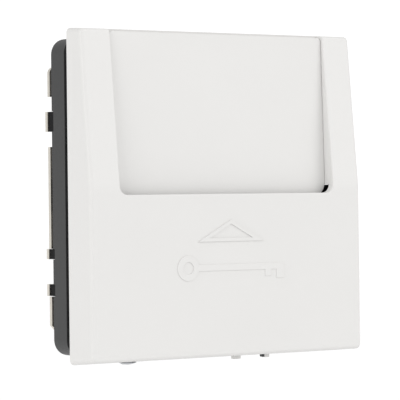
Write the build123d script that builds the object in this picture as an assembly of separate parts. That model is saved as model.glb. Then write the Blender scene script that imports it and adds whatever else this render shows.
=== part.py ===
from build123d import *
import math
import os

# Flush-mounted hotel key-card reader: a card holder with a recessed front,
# a card pocket with a microswitch lever, a reader board and a mains relay insert.
#
# Frame: X to the right, -Y out of the wall towards the user, +Z up, millimetres.
# Origin: midway between the two box-screw holes, on the support plate's rear face.

# ---------------------------------------------------------------- front cover
COVER_W = 71.0            # width
COVER_H = 71.0            # height of the front face
COVER_DEPTH_TOP = 5.72    # depth at the top edge
COVER_DEPTH_BEND = 9.44   # depth where the sloped upper half meets the lower half
COVER_DEPTH_BOTTOM = 9.53
BEND_Z = 1.4              # height of that bend above the middle
BEND_R = 18.0
BOTTOM_DRAFT = 0.9        # the bottom wall is this much lower at the back
TOP_DRAFT = 0.4           # the top wall is this much higher at the back
PANEL_T = 1.8             # front panel
COVER_WALL = 2.0          # side, top and bottom walls
COVER_CORNER_R = 1.1
COVER_EDGE_R = 0.8
LAP = 0.2                 # overlap that joins two pieces of one solid
PAST = 1                  # how far a cutting piece runs past a face

# ---------------------------------------------------------------- card opening
CARD_W = 54.0             # ID-1 card, inserted short side first
OPENING_SLACK = 2.2       # opening over card width
OPENING_R = 1.9
OPENING_EDGE_R = 0.3
ARROW_SIZE = (8.6, 4.7)   # half width and height of the raised triangle
ARROW_TIP_Z = -5.7
ARROW_LINE = 0.75
ARROW_RAISE = 0.2
SLOT_Z = 0.0              # upper edge of the front panel below the opening
POCKET_GAP = 1.34         # front to back inside the pocket
RIB_T = 1.5               # return walls beside the opening
RIB_FOOT_Z = 1.9          # where they end above the slot

# ---------------------------------------------------------------- card rest plate
REST_DEPTH_TOP = 5.06     # its front face from the cover's back, at the top edge
REST_TOP_GAP = 0.4        # its top edge below the cover's
REST_T = 1.6
REST_SIDE_GAP = 0.1
REST_FOOT = 1.0           # how far it reaches below the slot edge
REST_CORNER_R = 3.6
REST_WALL_FOOT = 5.0      # its side walls begin this far above the slot
REST_TOP_R = 1.0
REST_FLANGE_T = 1.2
REST_FLANGE_OUT = 2.9

# ---------------------------------------------------------------- card guide
GUIDE_T = 1.2
GUIDE_RIM = 1.15
GUIDE_SLACK = 0.7         # pocket over card width
GUIDE_FOOT_GAP = 0.3      # to the cover's bottom wall
GUIDE_TOP_GAP = 0.3       # to the rest plate's lower edge
GUIDE_CHAMFER = 0.5       # lead-in for the card
LIP_HEIGHT = 3.0
LIP_WEB = 1.7             # depth of the web below the guide's top edge
LIP_GAP = 0.1             # lip to the rest plate's back, and to the return walls above
LIP_INSET = 3.0           # each end of the lip's high middle inside the card's edge
LIP_OVERHANG = 2.4        # its low ends past the guide's sides, behind the slot's round ends
EAR_W = 3.4
EAR_H = 4.0
EAR_DROP = (7.7, 25.7)    # guide screws below the guide's top edge
BOSS_R = 1.7
GUIDE_SCREW_R = 0.8
GUIDE_HEAD_R = 1.5
GUIDE_HEAD_T = 0.9
GUIDE_SCREW_BITE = 0.8    # how far it enters the front panel
GUIDE_RECESS = (1.5, 0.5) # cross recess, width and depth
CROSS_ARM = 0.28          # arm width over recess width, for every cross-head screw

# ---------------------------------------------------------------- aerial board
AERIAL_GAP = 0.3          # guide to board
AERIAL_INSET = 1.0        # each side of the board inside the card's edge
AERIAL_H = 28.2
AERIAL_T = 1.0
AERIAL_DROP = 0.3         # board top below the lip's web
COIL_TURNS = 3
COIL_PITCH = 0.85
COIL_TRACK = 0.45
COIL_T = 0.15
COIL_MARGIN = 0.5         # board edge to outer track
STAKE_R = 0.9
STAKE_HEAD = 0.5          # stake past the board
STAKE_SHOULDER = 0.6      # shoulder that the board sits on, round the stake
STAKE_X = 15.0
STAKE_DROP = (6.7, 23.7)
LEVER_BAY_W = 14.0        # cut-out in the middle of the board
LEVER_BAY_H = 22.4

# ---------------------------------------------------------------- card lever
LEVER_W = 4.0
ARM_T = 1.6
HUB_R = 1.9
PIN_R = 0.75
RUNNING_FIT = 0.03        # radial, lever on its pin
HOLDING_FIT = 0.02        # radial, pin in the guide's ears
PIVOT_Z = -11.0
BUTTON_DROP = 6.5         # switch button below the pivot
NOSE_DROP = (9.8, 13.0, 13.8, 14.4)   # nose outline below the pivot
NOSE_TIP_GAP = 0.35       # nose to the front panel at rest
NOSE_BAY = (-2.7, 2.7, -16.6, -9.3)   # window in the guide: x0, x1 and z0, z1 from the pivot
PIVOT_EAR_T = 1.2
PIVOT_EAR_H = (2.2, 3.6)  # below and above the pivot
PIVOT_EAR_BACK = 1.8      # behind the pivot
LEVER_SIDE_GAP = 0.3
SPRING_WIRE = 0.36        # side of the square wire
SPRING_R = 1.35
SPRING_TURNS = 4
SPRING_PITCH = 0.45
SPRING_LEG = 3.4
LEG_EXTRA = 0.02          # its straight legs thicker than the wire, each side
PEG_REST_T = 0.9          # the lever's peg and the guide's stop for the legs
PIN_HEAD = (0.4, 0.5)     # past the pin's radius, and thickness
TOUCH_GAP = 0.05

# ---------------------------------------------------------------- microswitch
SWITCH_SIZE = (12.8, 6.5, 5.8)
SWITCH_SHIFT = 1.6        # body centre to the right of its button
BUTTON_SIZE = (2.6, 1.4)
BUTTON_OUT = 1.15
BUTTON_IN = 1.2
BUTTON_WELL = 2.2
BUTTON_FIT = 0.05
SWITCH_CHAMFER = 0.3
SWITCH_HOLES = (3.25, 1.9, 1.0)   # from its middle, from the board, and radius
SWITCH_LEGS = (-5.08, 0.0, 5.08)
SWITCH_LEG = (0.9, 0.4)   # width and thickness
SWITCH_LEG_END = 0.6      # past the board
SWITCH_LEG_FIT = 0.05

# ---------------------------------------------------------------- base
BASE_INSET = 1.7          # outer wall inside the cover's outline, each side
BASE_TOP_INSET = 1.35
BASE_FOOT_INSET = 0.55
BASE_R = 3.5
BASE_WALL = 1.5
BASE_FLOOR = 1.5
SHELL_DEPTH = 5.6         # outer wall, front to back
SHELF_T = 1.2
UPSTAND_STEP = 2.6        # upstand inside the outer wall
UPSTAND_WALL = 1.2
UPSTAND_LAP = 1.5         # upstand into the cover
UPSTAND_R = 2.0
SHADOW_GAP = 4.13         # outer wall to cover
PAD_T = 0.77              # pads between base and plate
PAD_X = (9.0, 0.4)        # their inner and outer sides inside the base's outline
PAD_END = 0.45            # each end of a pad from a notch or an edge
STANDOFF = 1.03
STANDOFF_R = 2.4

# ---------------------------------------------------------------- support plate
PLATE_T = 1.0
PLATE_TOP = 28.1          # top edge above the middle
PLATE_FOOT = -29.8        # bottom edge
PLATE_CHAMFER = 1.4       # bottom corners
PLATE_TOP_R = 1.5
NOTCH_DEPTH = 3.5
NOTCHES = ((10.6, 21.55), (-22.1, -11.6))

# ---------------------------------------------------------------- plate clips
CLIPS = ((13.95, 18.3), (-13.9, -11.7), (-21.95, -19.4))   # heights above the middle
CLIP_INSET = 0.3          # inside the base's outer face
CLIP_W = 2.5
CLIP_SUNK = 0.65          # set into the base's back
CLIP_BACK = 0.15          # behind the plate's rear face
CLIP_STEM = 1.8
CLIP_HEAD = (2.8, 1.0)    # width and depth of the head inside the base
CLIP_STEP = 0.4           # stem's outer side past the foot's inner side
CLIP_FIT = 0.05

# ---------------------------------------------------------------- wall-box fixing
FOOT_BACK = 1.25          # foot tongues stand this far behind the plate
FOOT_STEP = 1.2           # width of a tongue's step back from the plate
FOOT_INSET = 0.1          # a tongue's end inside the plate's edge
HOLE_SPACING = 60.0       # wall-box screws
HOLE_R = 2.1
BOX_HEAD_R = 3.2          # room for a box screw's head

# ---------------------------------------------------------------- cover fixings
LOCK_X = -22.2
LOCK_BACK = 1.7           # screw axis in front of the cover's back edge
LOCK_R = 1.2
LOCK_HEAD_R = 2.1
LOCK_DOME_R = 4.3         # the head is a cap of this sphere
LOCK_SLOT = (0.5, 0.3)    # width and depth
LOCK_BOSS = (6.0, 3.6, 5.7)
LOCK_BOSS_DROP = 1.3      # below the upstand
LOCK_END = 3.5            # screw tip above the upstand's lower face
PEG_X = (5.62, 13.62)
PEG_W = (1.78, 1.3)
PEG_LENGTH = 0.65
PEG_DEPTH = 1.2
PEG_BACK = 2.6
TONGUE_W = 0.45           # base tongue beside the second peg
TONGUE_FIT = 0.2
TOP_HOOK_X = 12.0
TOP_HOOK_W = 5.0
TOP_HOOK_T = 1.0

# ---------------------------------------------------------------- boards
BOARD_T = 1.6
READER_BOARD = (51.6, 54.0)
BOARD_SCREW_X = 22.0
BOARD_SCREW_Z = 23.0
BOARD_SCREW_R = 1.1
BOARD_HEAD_R = 2.0
BOARD_HEAD_T = 1.3
BOARD_RECESS = (2.2, 0.7)
BOARD_SCREW_SKIN = 0.35   # floor left behind a board screw's hole
SCREW_FIT = 0.05
PIN_PITCH = 2.54
PIN_SIDE = 0.6
AERIAL_PLUG = (13.5, -21.0)   # centre of the plug between the two boards, x and z
LINK_Z = -9.5                 # plug between the reader board and the power board
CHIPS = ((-13.5, -4.0, 5.0, 5.0, 0.9), (-13.0, 9.0, 7.0, 7.0, 1.2))   # x, z, width, height, depth
CRYSTAL_CAN = (11.0, 4.6, 2.2)        # width, height and corner radius
CRYSTAL_RIM = (11.6, 5.2, 2.5)
CRYSTAL_DEPTH = (3.4, 0.5)            # can and rim
CRYSTAL_AT = (4.0, 9.5)
PASSIVE_ROWS = (((-20.0, -10.0), (0.0, 3.2), 6, (2.0, 1.2, 0.6)),   # first place, step,
                ((-6.0, 17.0), (3.0, 0.0), 6, (1.2, 2.0, 0.6)),     # count and size
                ((-6.5, -7.5), (0.0, 3.0), 4, (1.6, 0.8, 0.5)),
                ((16.0, 1.0), (0.0, 4.5), 3, (3.2, 2.6, 1.6)))

# ---------------------------------------------------------------- rear insert
HOUSING_W = 39.6
HOUSING_H = 45.6
HOUSING_BACK = 20.0       # behind the plate
HOUSING_WALL = 1.5
HOUSING_R = 2.0
HOUSING_FLANGE = (47.0, 52.0)
FLANGE_T = 1.5
HOUSING_FIT = 0.3         # housing in the plate's cut-out
POWER_BOARD_GAP = 0.5
POWER_BOARD_Y = 1.5
CORNER_POST = 5.0
INSERT_SCREW_R = 1.2
INSERT_HEAD_R = 2.2
INSERT_HEAD_T = 1.0
INSERT_RECESS = (2.4, 0.6)
INSERT_SCREW_END = 9.0

# ---------------------------------------------------------------- parts on the power board
RELAY = (-2.0, 17.0, -6.4, 8.8, 15.0)         # x0, x1, z0, z1 and height
RELAY_R = 0.8
CAPACITOR = (-11.0, 5.6, 4.0, 12.0)           # x, z, radius and height
CAPACITOR_R = 0.5
FILM_CAPACITOR = (-9.0, 4.0, 11.0, 16.0, 11.0)
FILM_CAPACITOR_R = 0.4
CHOKE_AT = (-8.5, -5.2)
CHOKE_RADII = (3.6, 3.0)                      # end cheeks and core
CHOKE_HEIGHT = 9.0
CHOKE_CHEEK = 1.2
VARISTOR = (-17.2, -14.2, -3.5, 3.5)          # x0, x1, z and radius
VARISTOR_UP = 4.6                             # its centre above the board
VARISTOR_LEADS = (-2.0, 2.0)
VARISTOR_LEAD = 3.0                           # their length, up into the disc
RESISTOR = (7.5, 13.5, 12.8, 1.4)             # x0, x1, z and radius
RESISTOR_UP = 2.0
RESISTOR_LEADS = (6.3, 14.7)
LEAD_R = 0.3

# ---------------------------------------------------------------- terminals
POLES = 4
POLE_PITCH = 5.0
TERMINAL_H = 9.5
TERMINAL_PROUD = 0.4      # past the housing's back wall
TERMINAL_SIDE = 0.3
WINDOW_FIT = 0.2
CLAMP_SIZE = (3.8, 6.0, 5.4)
CLAMP_FIT = 0.1
WIRE_HOLE = (2.9, 3.4)
TERMINAL_SCREW_R = 1.4
TERMINAL_HEAD_R = 1.8
TERMINAL_HEAD_T = 1.6
TERMINAL_HEAD_FIT = 0.25
TERMINAL_SUNK = 4.2       # clamp's back face below the block's
TERMINAL_SLOT = (0.6, 0.7)    # width and depth
TERMINAL_STEM = 2.6
CLAMP_FLOOR = 0.8
SCREW_LIFT = 0.6          # screw head clear of its clamp

# ---------------------------------------------------------------- worked-out places
HALF_W = COVER_W / 2
HALF_H = COVER_H / 2
Y_PLATE = -PLATE_T
Y_BASE = Y_PLATE - PAD_T
Y_FLOOR = Y_BASE - BASE_FLOOR
Y_SHELF = Y_BASE - SHELL_DEPTH
Y_COVER = Y_SHELF - SHADOW_GAP
Y_UPSTAND = Y_COVER - UPSTAND_LAP
Y_TOP = Y_COVER - COVER_DEPTH_TOP
Y_BEND = Y_COVER - COVER_DEPTH_BEND
Y_BOTTOM = Y_COVER - COVER_DEPTH_BOTTOM
Y_POCKET = Y_BEND + PANEL_T + POCKET_GAP
Y_GUIDE = Y_POCKET + GUIDE_T
Y_AERIAL = Y_GUIDE + AERIAL_GAP
Y_AERIAL_BACK = Y_AERIAL + AERIAL_T
Y_REST_TOP = Y_COVER - REST_DEPTH_TOP
Y_FLANGE = Y_REST_TOP + REST_T + 0.06
Y_BOARD_BACK = Y_FLOOR - STANDOFF
Y_BOARD = Y_BOARD_BACK - BOARD_T
Y_SWITCH = Y_BOARD - SWITCH_SIZE[1]
Y_BUTTON = Y_SWITCH - BUTTON_OUT
Y_ARM_BACK = Y_BUTTON - TOUCH_GAP
Y_PIVOT = Y_ARM_BACK - ARM_T / 2
BUTTON_Z = PIVOT_Z - BUTTON_DROP
OPENING_W = CARD_W + OPENING_SLACK
POCKET_W = CARD_W + GUIDE_SLACK
GUIDE_HALF = POCKET_W / 2 + GUIDE_RIM
LIP_W = CARD_W - 2 * LIP_INSET
AERIAL_W = CARD_W - 2 * AERIAL_INSET
GUIDE_TOP = SLOT_Z - REST_FOOT - GUIDE_TOP_GAP
GUIDE_BOTTOM = -HALF_H + COVER_WALL + GUIDE_FOOT_GAP
EAR_X = GUIDE_HALF + EAR_W / 2
LIP_FOOT = GUIDE_TOP - LIP_WEB
AERIAL_TOP = LIP_FOOT - AERIAL_DROP
BASE_HALF_W = HALF_W - BASE_INSET
BASE_Z0 = -HALF_H + BASE_FOOT_INSET
BASE_Z1 = HALF_H - BASE_TOP_INSET
BASE_MID = (BASE_Z0 + BASE_Z1) / 2
UP_HALF_W = BASE_HALF_W - UPSTAND_STEP
UP_Z0 = BASE_Z0 + UPSTAND_STEP
UP_Z1 = BASE_Z1 - UPSTAND_STEP
Y_LOCK = Y_COVER - LOCK_BACK
Y_PEG = Y_COVER - PEG_BACK
Y_HOUSING_IN = HOUSING_BACK - HOUSING_WALL
Y_POWER = POWER_BOARD_Y + BOARD_T
Y_TERMINAL = HOUSING_BACK + TERMINAL_PROUD
TERMINAL_W = POLES * POLE_PITCH + 2 * TERMINAL_SIDE
TERMINAL_Z0 = -HOUSING_H / 2
TERMINAL_Z = TERMINAL_Z0 + TERMINAL_H / 2
POLE_XS = [(i - (POLES - 1) / 2) * POLE_PITCH for i in range(POLES)]
POST_X = HOUSING_W / 2 - HOUSING_WALL - CORNER_POST / 2
POST_Z = HOUSING_H / 2 - HOUSING_WALL - CORNER_POST / 2


# ---------------------------------------------------------------- shape helpers
def block(x0, x1, y0, y1, z0, z1):
    centre = Pos((x0 + x1) / 2, (y0 + y1) / 2, (z0 + z1) / 2)
    return centre * Box(abs(x1 - x0), abs(y1 - y0), abs(z1 - z0))


def rod_x(y, z, r, x0, x1):
    return Pos((x0 + x1) / 2, y, z) * Rot(0, 90, 0) * Cylinder(r, x1 - x0)


def rod_y(x, z, r, y0, y1):
    return Pos(x, (y0 + y1) / 2, z) * Rot(90, 0, 0) * Cylinder(r, y1 - y0)


def rod_z(x, y, r, z0, z1):
    return Pos(x, y, (z0 + z1) / 2) * Cylinder(r, z1 - z0)


def slab(w, h, r, y0, y1, x=0.0, z=0.0):
    """A plate parallel to the wall with rounded corners."""
    face = Plane.XZ * RectangleRounded(w, h, r)
    return Pos(x, y0, z) * extrude(face, y1 - y0, dir=(0, 1, 0))


def yz_prism(points, x0, x1):
    face = Plane.YZ * make_face(Polyline(*points, close=True))
    return Pos(x0, 0, 0) * extrude(face, x1 - x0, dir=(1, 0, 0))


def both_sides(piece):
    return piece + mirror(piece, Plane.YZ)


def grid(xs, zs):
    return [(x, z) for x in xs for z in zs]


def fuse(pieces):
    pieces = list(pieces)
    return pieces[0].fuse(*pieces[1:]) if len(pieces) > 1 else pieces[0]


def front_y(z):
    """The cover's front face at height z."""
    if z < BEND_Z:
        return Y_BOTTOM + (Y_BEND - Y_BOTTOM) * (z + HALF_H) / (BEND_Z + HALF_H)
    return Y_BEND + (Y_TOP - Y_BEND) * (z - BEND_Z) / (HALF_H - BEND_Z)


def rest_y(z):
    """The rest plate's front face at height z; it meets the pocket at the slot."""
    return Y_POCKET + (Y_REST_TOP - Y_POCKET) * (z - SLOT_Z) / (HALF_H - SLOT_Z)


def bottom_z(y):
    """The cover's outer bottom face at depth y."""
    return -HALF_H - BOTTOM_DRAFT * (y - Y_BOTTOM) / COVER_DEPTH_BOTTOM


def top_z(y):
    """The cover's outer top face at depth y."""
    return HALF_H + TOP_DRAFT * (y - Y_TOP) / COVER_DEPTH_TOP


# ---------------------------------------------------------------- front cover
def cover_body():
    outline = make_face(Polyline((Y_COVER, top_z(Y_COVER)), (Y_TOP, HALF_H), (Y_BEND, BEND_Z),
                                 (Y_BOTTOM, -HALF_H), (Y_COVER, bottom_z(Y_COVER)), close=True))
    bend = outline.vertices().sort_by(lambda v: abs(v.Y - BEND_Z))[0]
    outline = fillet([bend], BEND_R)
    body = Pos(-HALF_W, 0, 0) * extrude(Plane.YZ * outline, COVER_W, dir=(1, 0, 0))
    corners = body.edges().filter_by(lambda e: abs((e @ 1 - e @ 0).X) < 1e-6
                                     and abs(e.center().X) > HALF_W - 0.01
                                     and abs(e.center().Z) > HALF_H - 0.1)
    body = fillet(corners, COVER_CORNER_R)
    rim = body.faces().sort_by(Axis.Y)[-1].edges()
    front = [e for e in body.edges()
             if e.center().Y < Y_COVER - 5.0 and not any(e.is_same(r) for r in rim)
             and (abs(e.center().X) > HALF_W - 1.2 or abs(e.center().Z) > HALF_H - 1.2)
             and e.bounding_box().size.Y < 5.0]
    return fillet(front, COVER_EDGE_R)


def cover_cavity():
    inner = HALF_W - COVER_WALL
    y_top, y_foot, y_open = Y_TOP + PANEL_T, Y_BOTTOM + PANEL_T, Y_COVER + PAST
    points = ((y_open, top_z(y_open) - COVER_WALL), (y_top, top_z(y_top) - COVER_WALL),
              (Y_BEND + PANEL_T, BEND_Z),
              (y_foot, bottom_z(y_foot) + COVER_WALL), (y_open, bottom_z(y_open) + COVER_WALL))
    return yz_prism(points, -inner, inner)


def card_opening():
    top = HALF_H + 5
    half = OPENING_W / 2
    outline = make_face(Polyline((-half, SLOT_Z), (half, SLOT_Z), (half, top), (-half, top),
                                 close=True))
    outline = fillet(outline.vertices().group_by(Axis.Y)[0], OPENING_R)
    return Pos(0, Y_BOTTOM - 5, 0) * extrude(Plane.XZ * outline, Y_FLANGE - Y_BOTTOM + 5,
                                             dir=(0, 1, 0))


def opening_edges(cover):
    """Front edges of the card opening: its two sides, its foot and the two round corners."""
    half = OPENING_W / 2
    return [e for e in cover.edges()
            if abs(e.center().X) < half + 0.01 and e.center().Z < HALF_H - COVER_WALL
            and abs(e.center().Y - front_y(e.center().Z)) < 0.2
            and e.bounding_box().min.Z > SLOT_Z - 0.01]


def opening_rib():
    x0 = OPENING_W / 2
    top = HALF_H - COVER_WALL / 2
    points = ((front_y(RIB_FOOT_Z) + PANEL_T / 2, RIB_FOOT_Z), (Y_FLANGE, RIB_FOOT_Z),
              (Y_FLANGE, top), (front_y(top) + PANEL_T / 2, top))
    return yz_prism(points, x0, x0 + RIB_T)


def arrow_mark():
    """Raised outline of a flat triangle that points the way to the card opening."""
    half, height = ARROW_SIZE
    tip_z, line = ARROW_TIP_Z, ARROW_LINE
    y = front_y(tip_z - height / 2)
    outer = ((-half, tip_z - height), (half, tip_z - height), (0, tip_z))
    slope = math.atan2(height, half)
    run = line / math.tan(slope / 2)
    inner = ((-half + run, tip_z - height + line), (half - run, tip_z - height + line),
             (0, tip_z - line / math.cos(slope)))
    mark = make_face(Polyline(*outer, close=True)) - make_face(Polyline(*inner, close=True))
    return Pos(0, y - ARROW_RAISE, 0) * extrude(Plane.XZ * mark, ARROW_RAISE + 2 * LAP, dir=(0, 1, 0))


def guide_screw_places():
    return grid((-EAR_X, EAR_X), [GUIDE_TOP - d for d in EAR_DROP])


def front_cover():
    cover = cover_body() - cover_cavity()
    cover -= card_opening()
    cover = fillet(opening_edges(cover), OPENING_EDGE_R)
    cover += both_sides(opening_rib())
    for x, z in guide_screw_places():
        cover += rod_y(x, z, BOSS_R, front_y(z) + PANEL_T / 2, Y_POCKET)
        cover -= rod_y(x, z, GUIDE_SCREW_R + SCREW_FIT,
                       front_y(z) + PANEL_T - GUIDE_SCREW_BITE - SCREW_FIT, Y_POCKET + PAST)
    for x, w in zip(PEG_X, PEG_W):
        cover += block(x - w / 2, x + w / 2, Y_PEG - PEG_DEPTH / 2, Y_PEG + PEG_DEPTH / 2,
                       bottom_z(Y_PEG) - PEG_LENGTH, -HALF_H + COVER_WALL / 2)
    slot_x = PEG_X[1] - PEG_W[1] / 2
    reach = PEG_DEPTH / 2 + TONGUE_FIT
    cover -= block(slot_x - TONGUE_W - TONGUE_FIT, slot_x, Y_PEG - reach, Y_PEG + reach,
                   -HALF_H - 3, -HALF_H + COVER_WALL + PAST)
    cover -= rod_z(LOCK_X, Y_LOCK, LOCK_R + 0.3, -HALF_H - 3, -HALF_H + COVER_WALL + PAST)
    cover -= rod_z(LOCK_X, Y_LOCK, LOCK_HEAD_R + 0.25, -HALF_H - 3, bottom_z(Y_LOCK))
    for x in (-TOP_HOOK_X, TOP_HOOK_X):
        cover += block(x - TOP_HOOK_W / 2, x + TOP_HOOK_W / 2, Y_COVER - TOP_HOOK_T, Y_COVER,
                       UP_Z1 - LAP, HALF_H - COVER_WALL / 2)
    return cover + arrow_mark()


# ---------------------------------------------------------------- card rest plate
def card_rest_plate():
    half = OPENING_W / 2 - REST_SIDE_GAP
    z0 = SLOT_Z - REST_FOOT
    z1 = HALF_H - REST_TOP_GAP
    tilted = yz_prism(((rest_y(z0), z0), (rest_y(z1), z1), (rest_y(z1) + REST_T, z1),
                       (rest_y(z0) + REST_T, z0)), -half, half)
    outline = make_face(Polyline((-half, z0), (half, z0), (half, z1), (-half, z1), close=True))
    rows = outline.vertices().group_by(Axis.Y)
    outline = fillet(rows[0], REST_CORNER_R)
    outline = fillet(outline.vertices().group_by(Axis.Y)[-1], REST_TOP_R)
    plate = tilted & (Pos(0, Y_BOTTOM, 0) * extrude(Plane.XZ * outline, 12, dir=(0, 1, 0)))
    foot = SLOT_Z + REST_WALL_FOOT
    head = HALF_H - COVER_WALL - 0.3
    wall = yz_prism(((rest_y(foot) + REST_T / 2, foot), (rest_y(head) + REST_T / 2, head),
                     (Y_FLANGE + REST_FLANGE_T, head), (Y_FLANGE + REST_FLANGE_T, foot)),
                    half - REST_FLANGE_T, half)
    flange = block(half - REST_FLANGE_T, half + REST_FLANGE_OUT, Y_FLANGE,
                   Y_FLANGE + REST_FLANGE_T, foot, head)
    return plate + both_sides(wall + flange)


# ---------------------------------------------------------------- card guide
def pivot_ear(x0):
    return block(x0, x0 + PIVOT_EAR_T, Y_GUIDE - GUIDE_T / 2, Y_PIVOT + PIVOT_EAR_BACK,
                 PIVOT_Z - PIVOT_EAR_H[0], PIVOT_Z + PIVOT_EAR_H[1])


def ear_places():
    """Left edges of the two ears that hold the lever's pin; the spring sits by the right one."""
    left = -LEVER_W / 2 - LEVER_SIDE_GAP - PIVOT_EAR_T
    right = spring_x0() + SPRING_TURNS * SPRING_PITCH + SPRING_WIRE / 2 + LEVER_SIDE_GAP
    return left, right


def spring_x0():
    return LEVER_W / 2 + LEVER_SIDE_GAP + SPRING_WIRE / 2


def card_guide():
    guide = block(-GUIDE_HALF, GUIDE_HALF, Y_POCKET, Y_GUIDE, GUIDE_BOTTOM, GUIDE_TOP)
    guide = chamfer(guide.edges().filter_by(Axis.X).group_by(Axis.Z)[-1].sort_by(Axis.Y)[0], GUIDE_CHAMFER)
    y_front = Y_BEND + PANEL_T + 0.02
    rim = block(GUIDE_HALF - GUIDE_RIM, GUIDE_HALF, y_front, Y_POCKET + LAP, GUIDE_BOTTOM, GUIDE_TOP)
    guide += both_sides(rim)
    guide += block(-GUIDE_HALF, GUIDE_HALF, y_front, Y_POCKET + LAP,
                   GUIDE_BOTTOM, GUIDE_BOTTOM + GUIDE_RIM)
    lip_back = rest_y(SLOT_Z + LIP_HEIGHT) + REST_T + LIP_GAP
    screen = GUIDE_HALF + LIP_OVERHANG
    guide += block(-screen, screen, Y_GUIDE - GUIDE_T / 2, lip_back + GUIDE_T, LIP_FOOT, GUIDE_TOP)
    guide += block(-screen, screen, lip_back, lip_back + GUIDE_T, LIP_FOOT, RIB_FOOT_Z - LIP_GAP)
    guide += block(-LIP_W / 2, LIP_W / 2, lip_back, lip_back + GUIDE_T, LIP_FOOT, SLOT_Z + LIP_HEIGHT)
    for x, z in guide_screw_places():
        side = math.copysign(1, x)
        guide += block(side * (GUIDE_HALF - 0.5), side * (GUIDE_HALF + EAR_W), Y_POCKET, Y_GUIDE,
                       z - EAR_H / 2, z + EAR_H / 2)
        guide -= rod_y(x, z, GUIDE_SCREW_R + SCREW_FIT, Y_POCKET - PAST, Y_GUIDE + PAST)
    x0, x1, z0, z1 = NOSE_BAY
    guide -= block(x0, x1, Y_POCKET - PAST, Y_GUIDE + PAST, PIVOT_Z + z0, PIVOT_Z + z1)
    left, right = ear_places()
    guide += pivot_ear(left) + pivot_ear(right)
    guide += block(right - 0.7, right + 0.5, Y_ARM_BACK - 0.7, Y_ARM_BACK + 0.3,
                   PIVOT_Z + 2.4, PIVOT_Z + SPRING_LEG)
    guide -= rod_x(Y_PIVOT, PIVOT_Z, PIN_R + HOLDING_FIT, left - PAST, right + PIVOT_EAR_T + PAST)
    for x, z in stake_places():
        guide += rod_y(x, z, STAKE_R, Y_GUIDE - GUIDE_T / 2, Y_AERIAL_BACK + STAKE_HEAD)
        guide += rod_y(x, z, STAKE_R + STAKE_SHOULDER, Y_GUIDE - GUIDE_T / 2, Y_AERIAL)
    return guide


def guide_screws():
    pieces = []
    for x, z in guide_screw_places():
        head = rod_y(x, z, GUIDE_HEAD_R, Y_GUIDE, Y_GUIDE + GUIDE_HEAD_T)
        head -= cross_recess(x, z, Y_GUIDE + GUIDE_HEAD_T, *GUIDE_RECESS)
        pieces.append(head + rod_y(x, z, GUIDE_SCREW_R, front_y(z) + PANEL_T - GUIDE_SCREW_BITE,
                                   Y_GUIDE + LAP))
    return Compound(children=pieces)


def cross_recess(x, z, y, width, depth):
    arm = width * CROSS_ARM
    cross = block(x - width / 2, x + width / 2, y - depth, y + depth, z - arm / 2, z + arm / 2)
    return cross + block(x - arm / 2, x + arm / 2, y - depth, y + depth, z - width / 2, z + width / 2)


# ---------------------------------------------------------------- aerial board and coil
def stake_places():
    return grid((-STAKE_X, STAKE_X), [AERIAL_TOP - d for d in STAKE_DROP])


def aerial_board():
    z = AERIAL_TOP - AERIAL_H / 2
    board = slab(AERIAL_W, AERIAL_H, 1.0, Y_AERIAL, Y_AERIAL_BACK, z=z)
    board -= slab(LEVER_BAY_W, LEVER_BAY_H, 1.0, Y_AERIAL - PAST, Y_AERIAL_BACK + PAST, z=z)
    for x, z in stake_places():
        board -= rod_y(x, z, STAKE_R + SCREW_FIT, Y_AERIAL - PAST, Y_AERIAL_BACK + PAST)
    return board


def aerial_coil():
    """Flat rectangular spiral of copper track on the board's front."""
    centre_z = AERIAL_TOP - AERIAL_H / 2
    half_x = AERIAL_W / 2 - COIL_MARGIN - COIL_TRACK / 2
    half_z = AERIAL_H / 2 - COIL_MARGIN - COIL_TRACK / 2
    points = []
    for turn in range(COIL_TURNS):
        inset = turn * COIL_PITCH
        step = COIL_PITCH if turn else 0.0
        points += [(-half_x + inset - step, half_z - inset), (half_x - inset, half_z - inset),
                   (half_x - inset, -half_z + inset), (-half_x + inset, -half_z + inset)]
    t = COIL_TRACK / 2
    tracks = []
    for (xa, za), (xb, zb) in zip(points, points[1:]):
        tracks.append(block(min(xa, xb) - t, max(xa, xb) + t, Y_AERIAL - COIL_T, Y_AERIAL,
                            centre_z + min(za, zb) - t, centre_z + max(za, zb) + t))
    return fuse(tracks)


def pin_row(centre_x, z, count, y0, y1, rows=1):
    xs = [centre_x + (i - (count - 1) / 2) * PIN_PITCH for i in range(count)]
    zs = [z + (j - (rows - 1) / 2) * PIN_PITCH for j in range(rows)]
    s = PIN_SIDE / 2
    return [block(x - s, x + s, y0, y1, zz - s, zz + s) for x, zz in grid(xs, zs)]


def plug_body(centre_x, z, count, y0, y1, rows=1):
    w = count * PIN_PITCH
    h = rows * PIN_PITCH
    return block(centre_x - w / 2, centre_x + w / 2, y0, y1, z - h / 2, z + h / 2)


def with_pin_holes(body, centre_x, z, count, y0, y1, rows=1):
    fit = SCREW_FIT
    xs = [centre_x + (i - (count - 1) / 2) * PIN_PITCH for i in range(count)]
    zs = [z + (j - (rows - 1) / 2) * PIN_PITCH for j in range(rows)]
    s = PIN_SIDE / 2 + fit
    for x, zz in grid(xs, zs):
        body -= block(x - s, x + s, y0, y1, zz - s, zz + s)
    return body


AERIAL_SOCKET_Y = Y_AERIAL_BACK + 4.5
AERIAL_PIN_TIP = Y_AERIAL_BACK + 1.2
AERIAL_HEADER_Y = Y_BOARD - 2.5


def aerial_socket():
    x, z = AERIAL_PLUG
    body = plug_body(x, z, 4, Y_AERIAL_BACK, AERIAL_SOCKET_Y)
    return with_pin_holes(body, x, z, 4, AERIAL_PIN_TIP - 0.3, AERIAL_SOCKET_Y + PAST)


def aerial_header():
    x, z = AERIAL_PLUG
    body = plug_body(x, z, 4, AERIAL_HEADER_Y, Y_BOARD)
    return with_pin_holes(body, x, z, 4, AERIAL_HEADER_Y - PAST, Y_BOARD + PAST)


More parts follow.
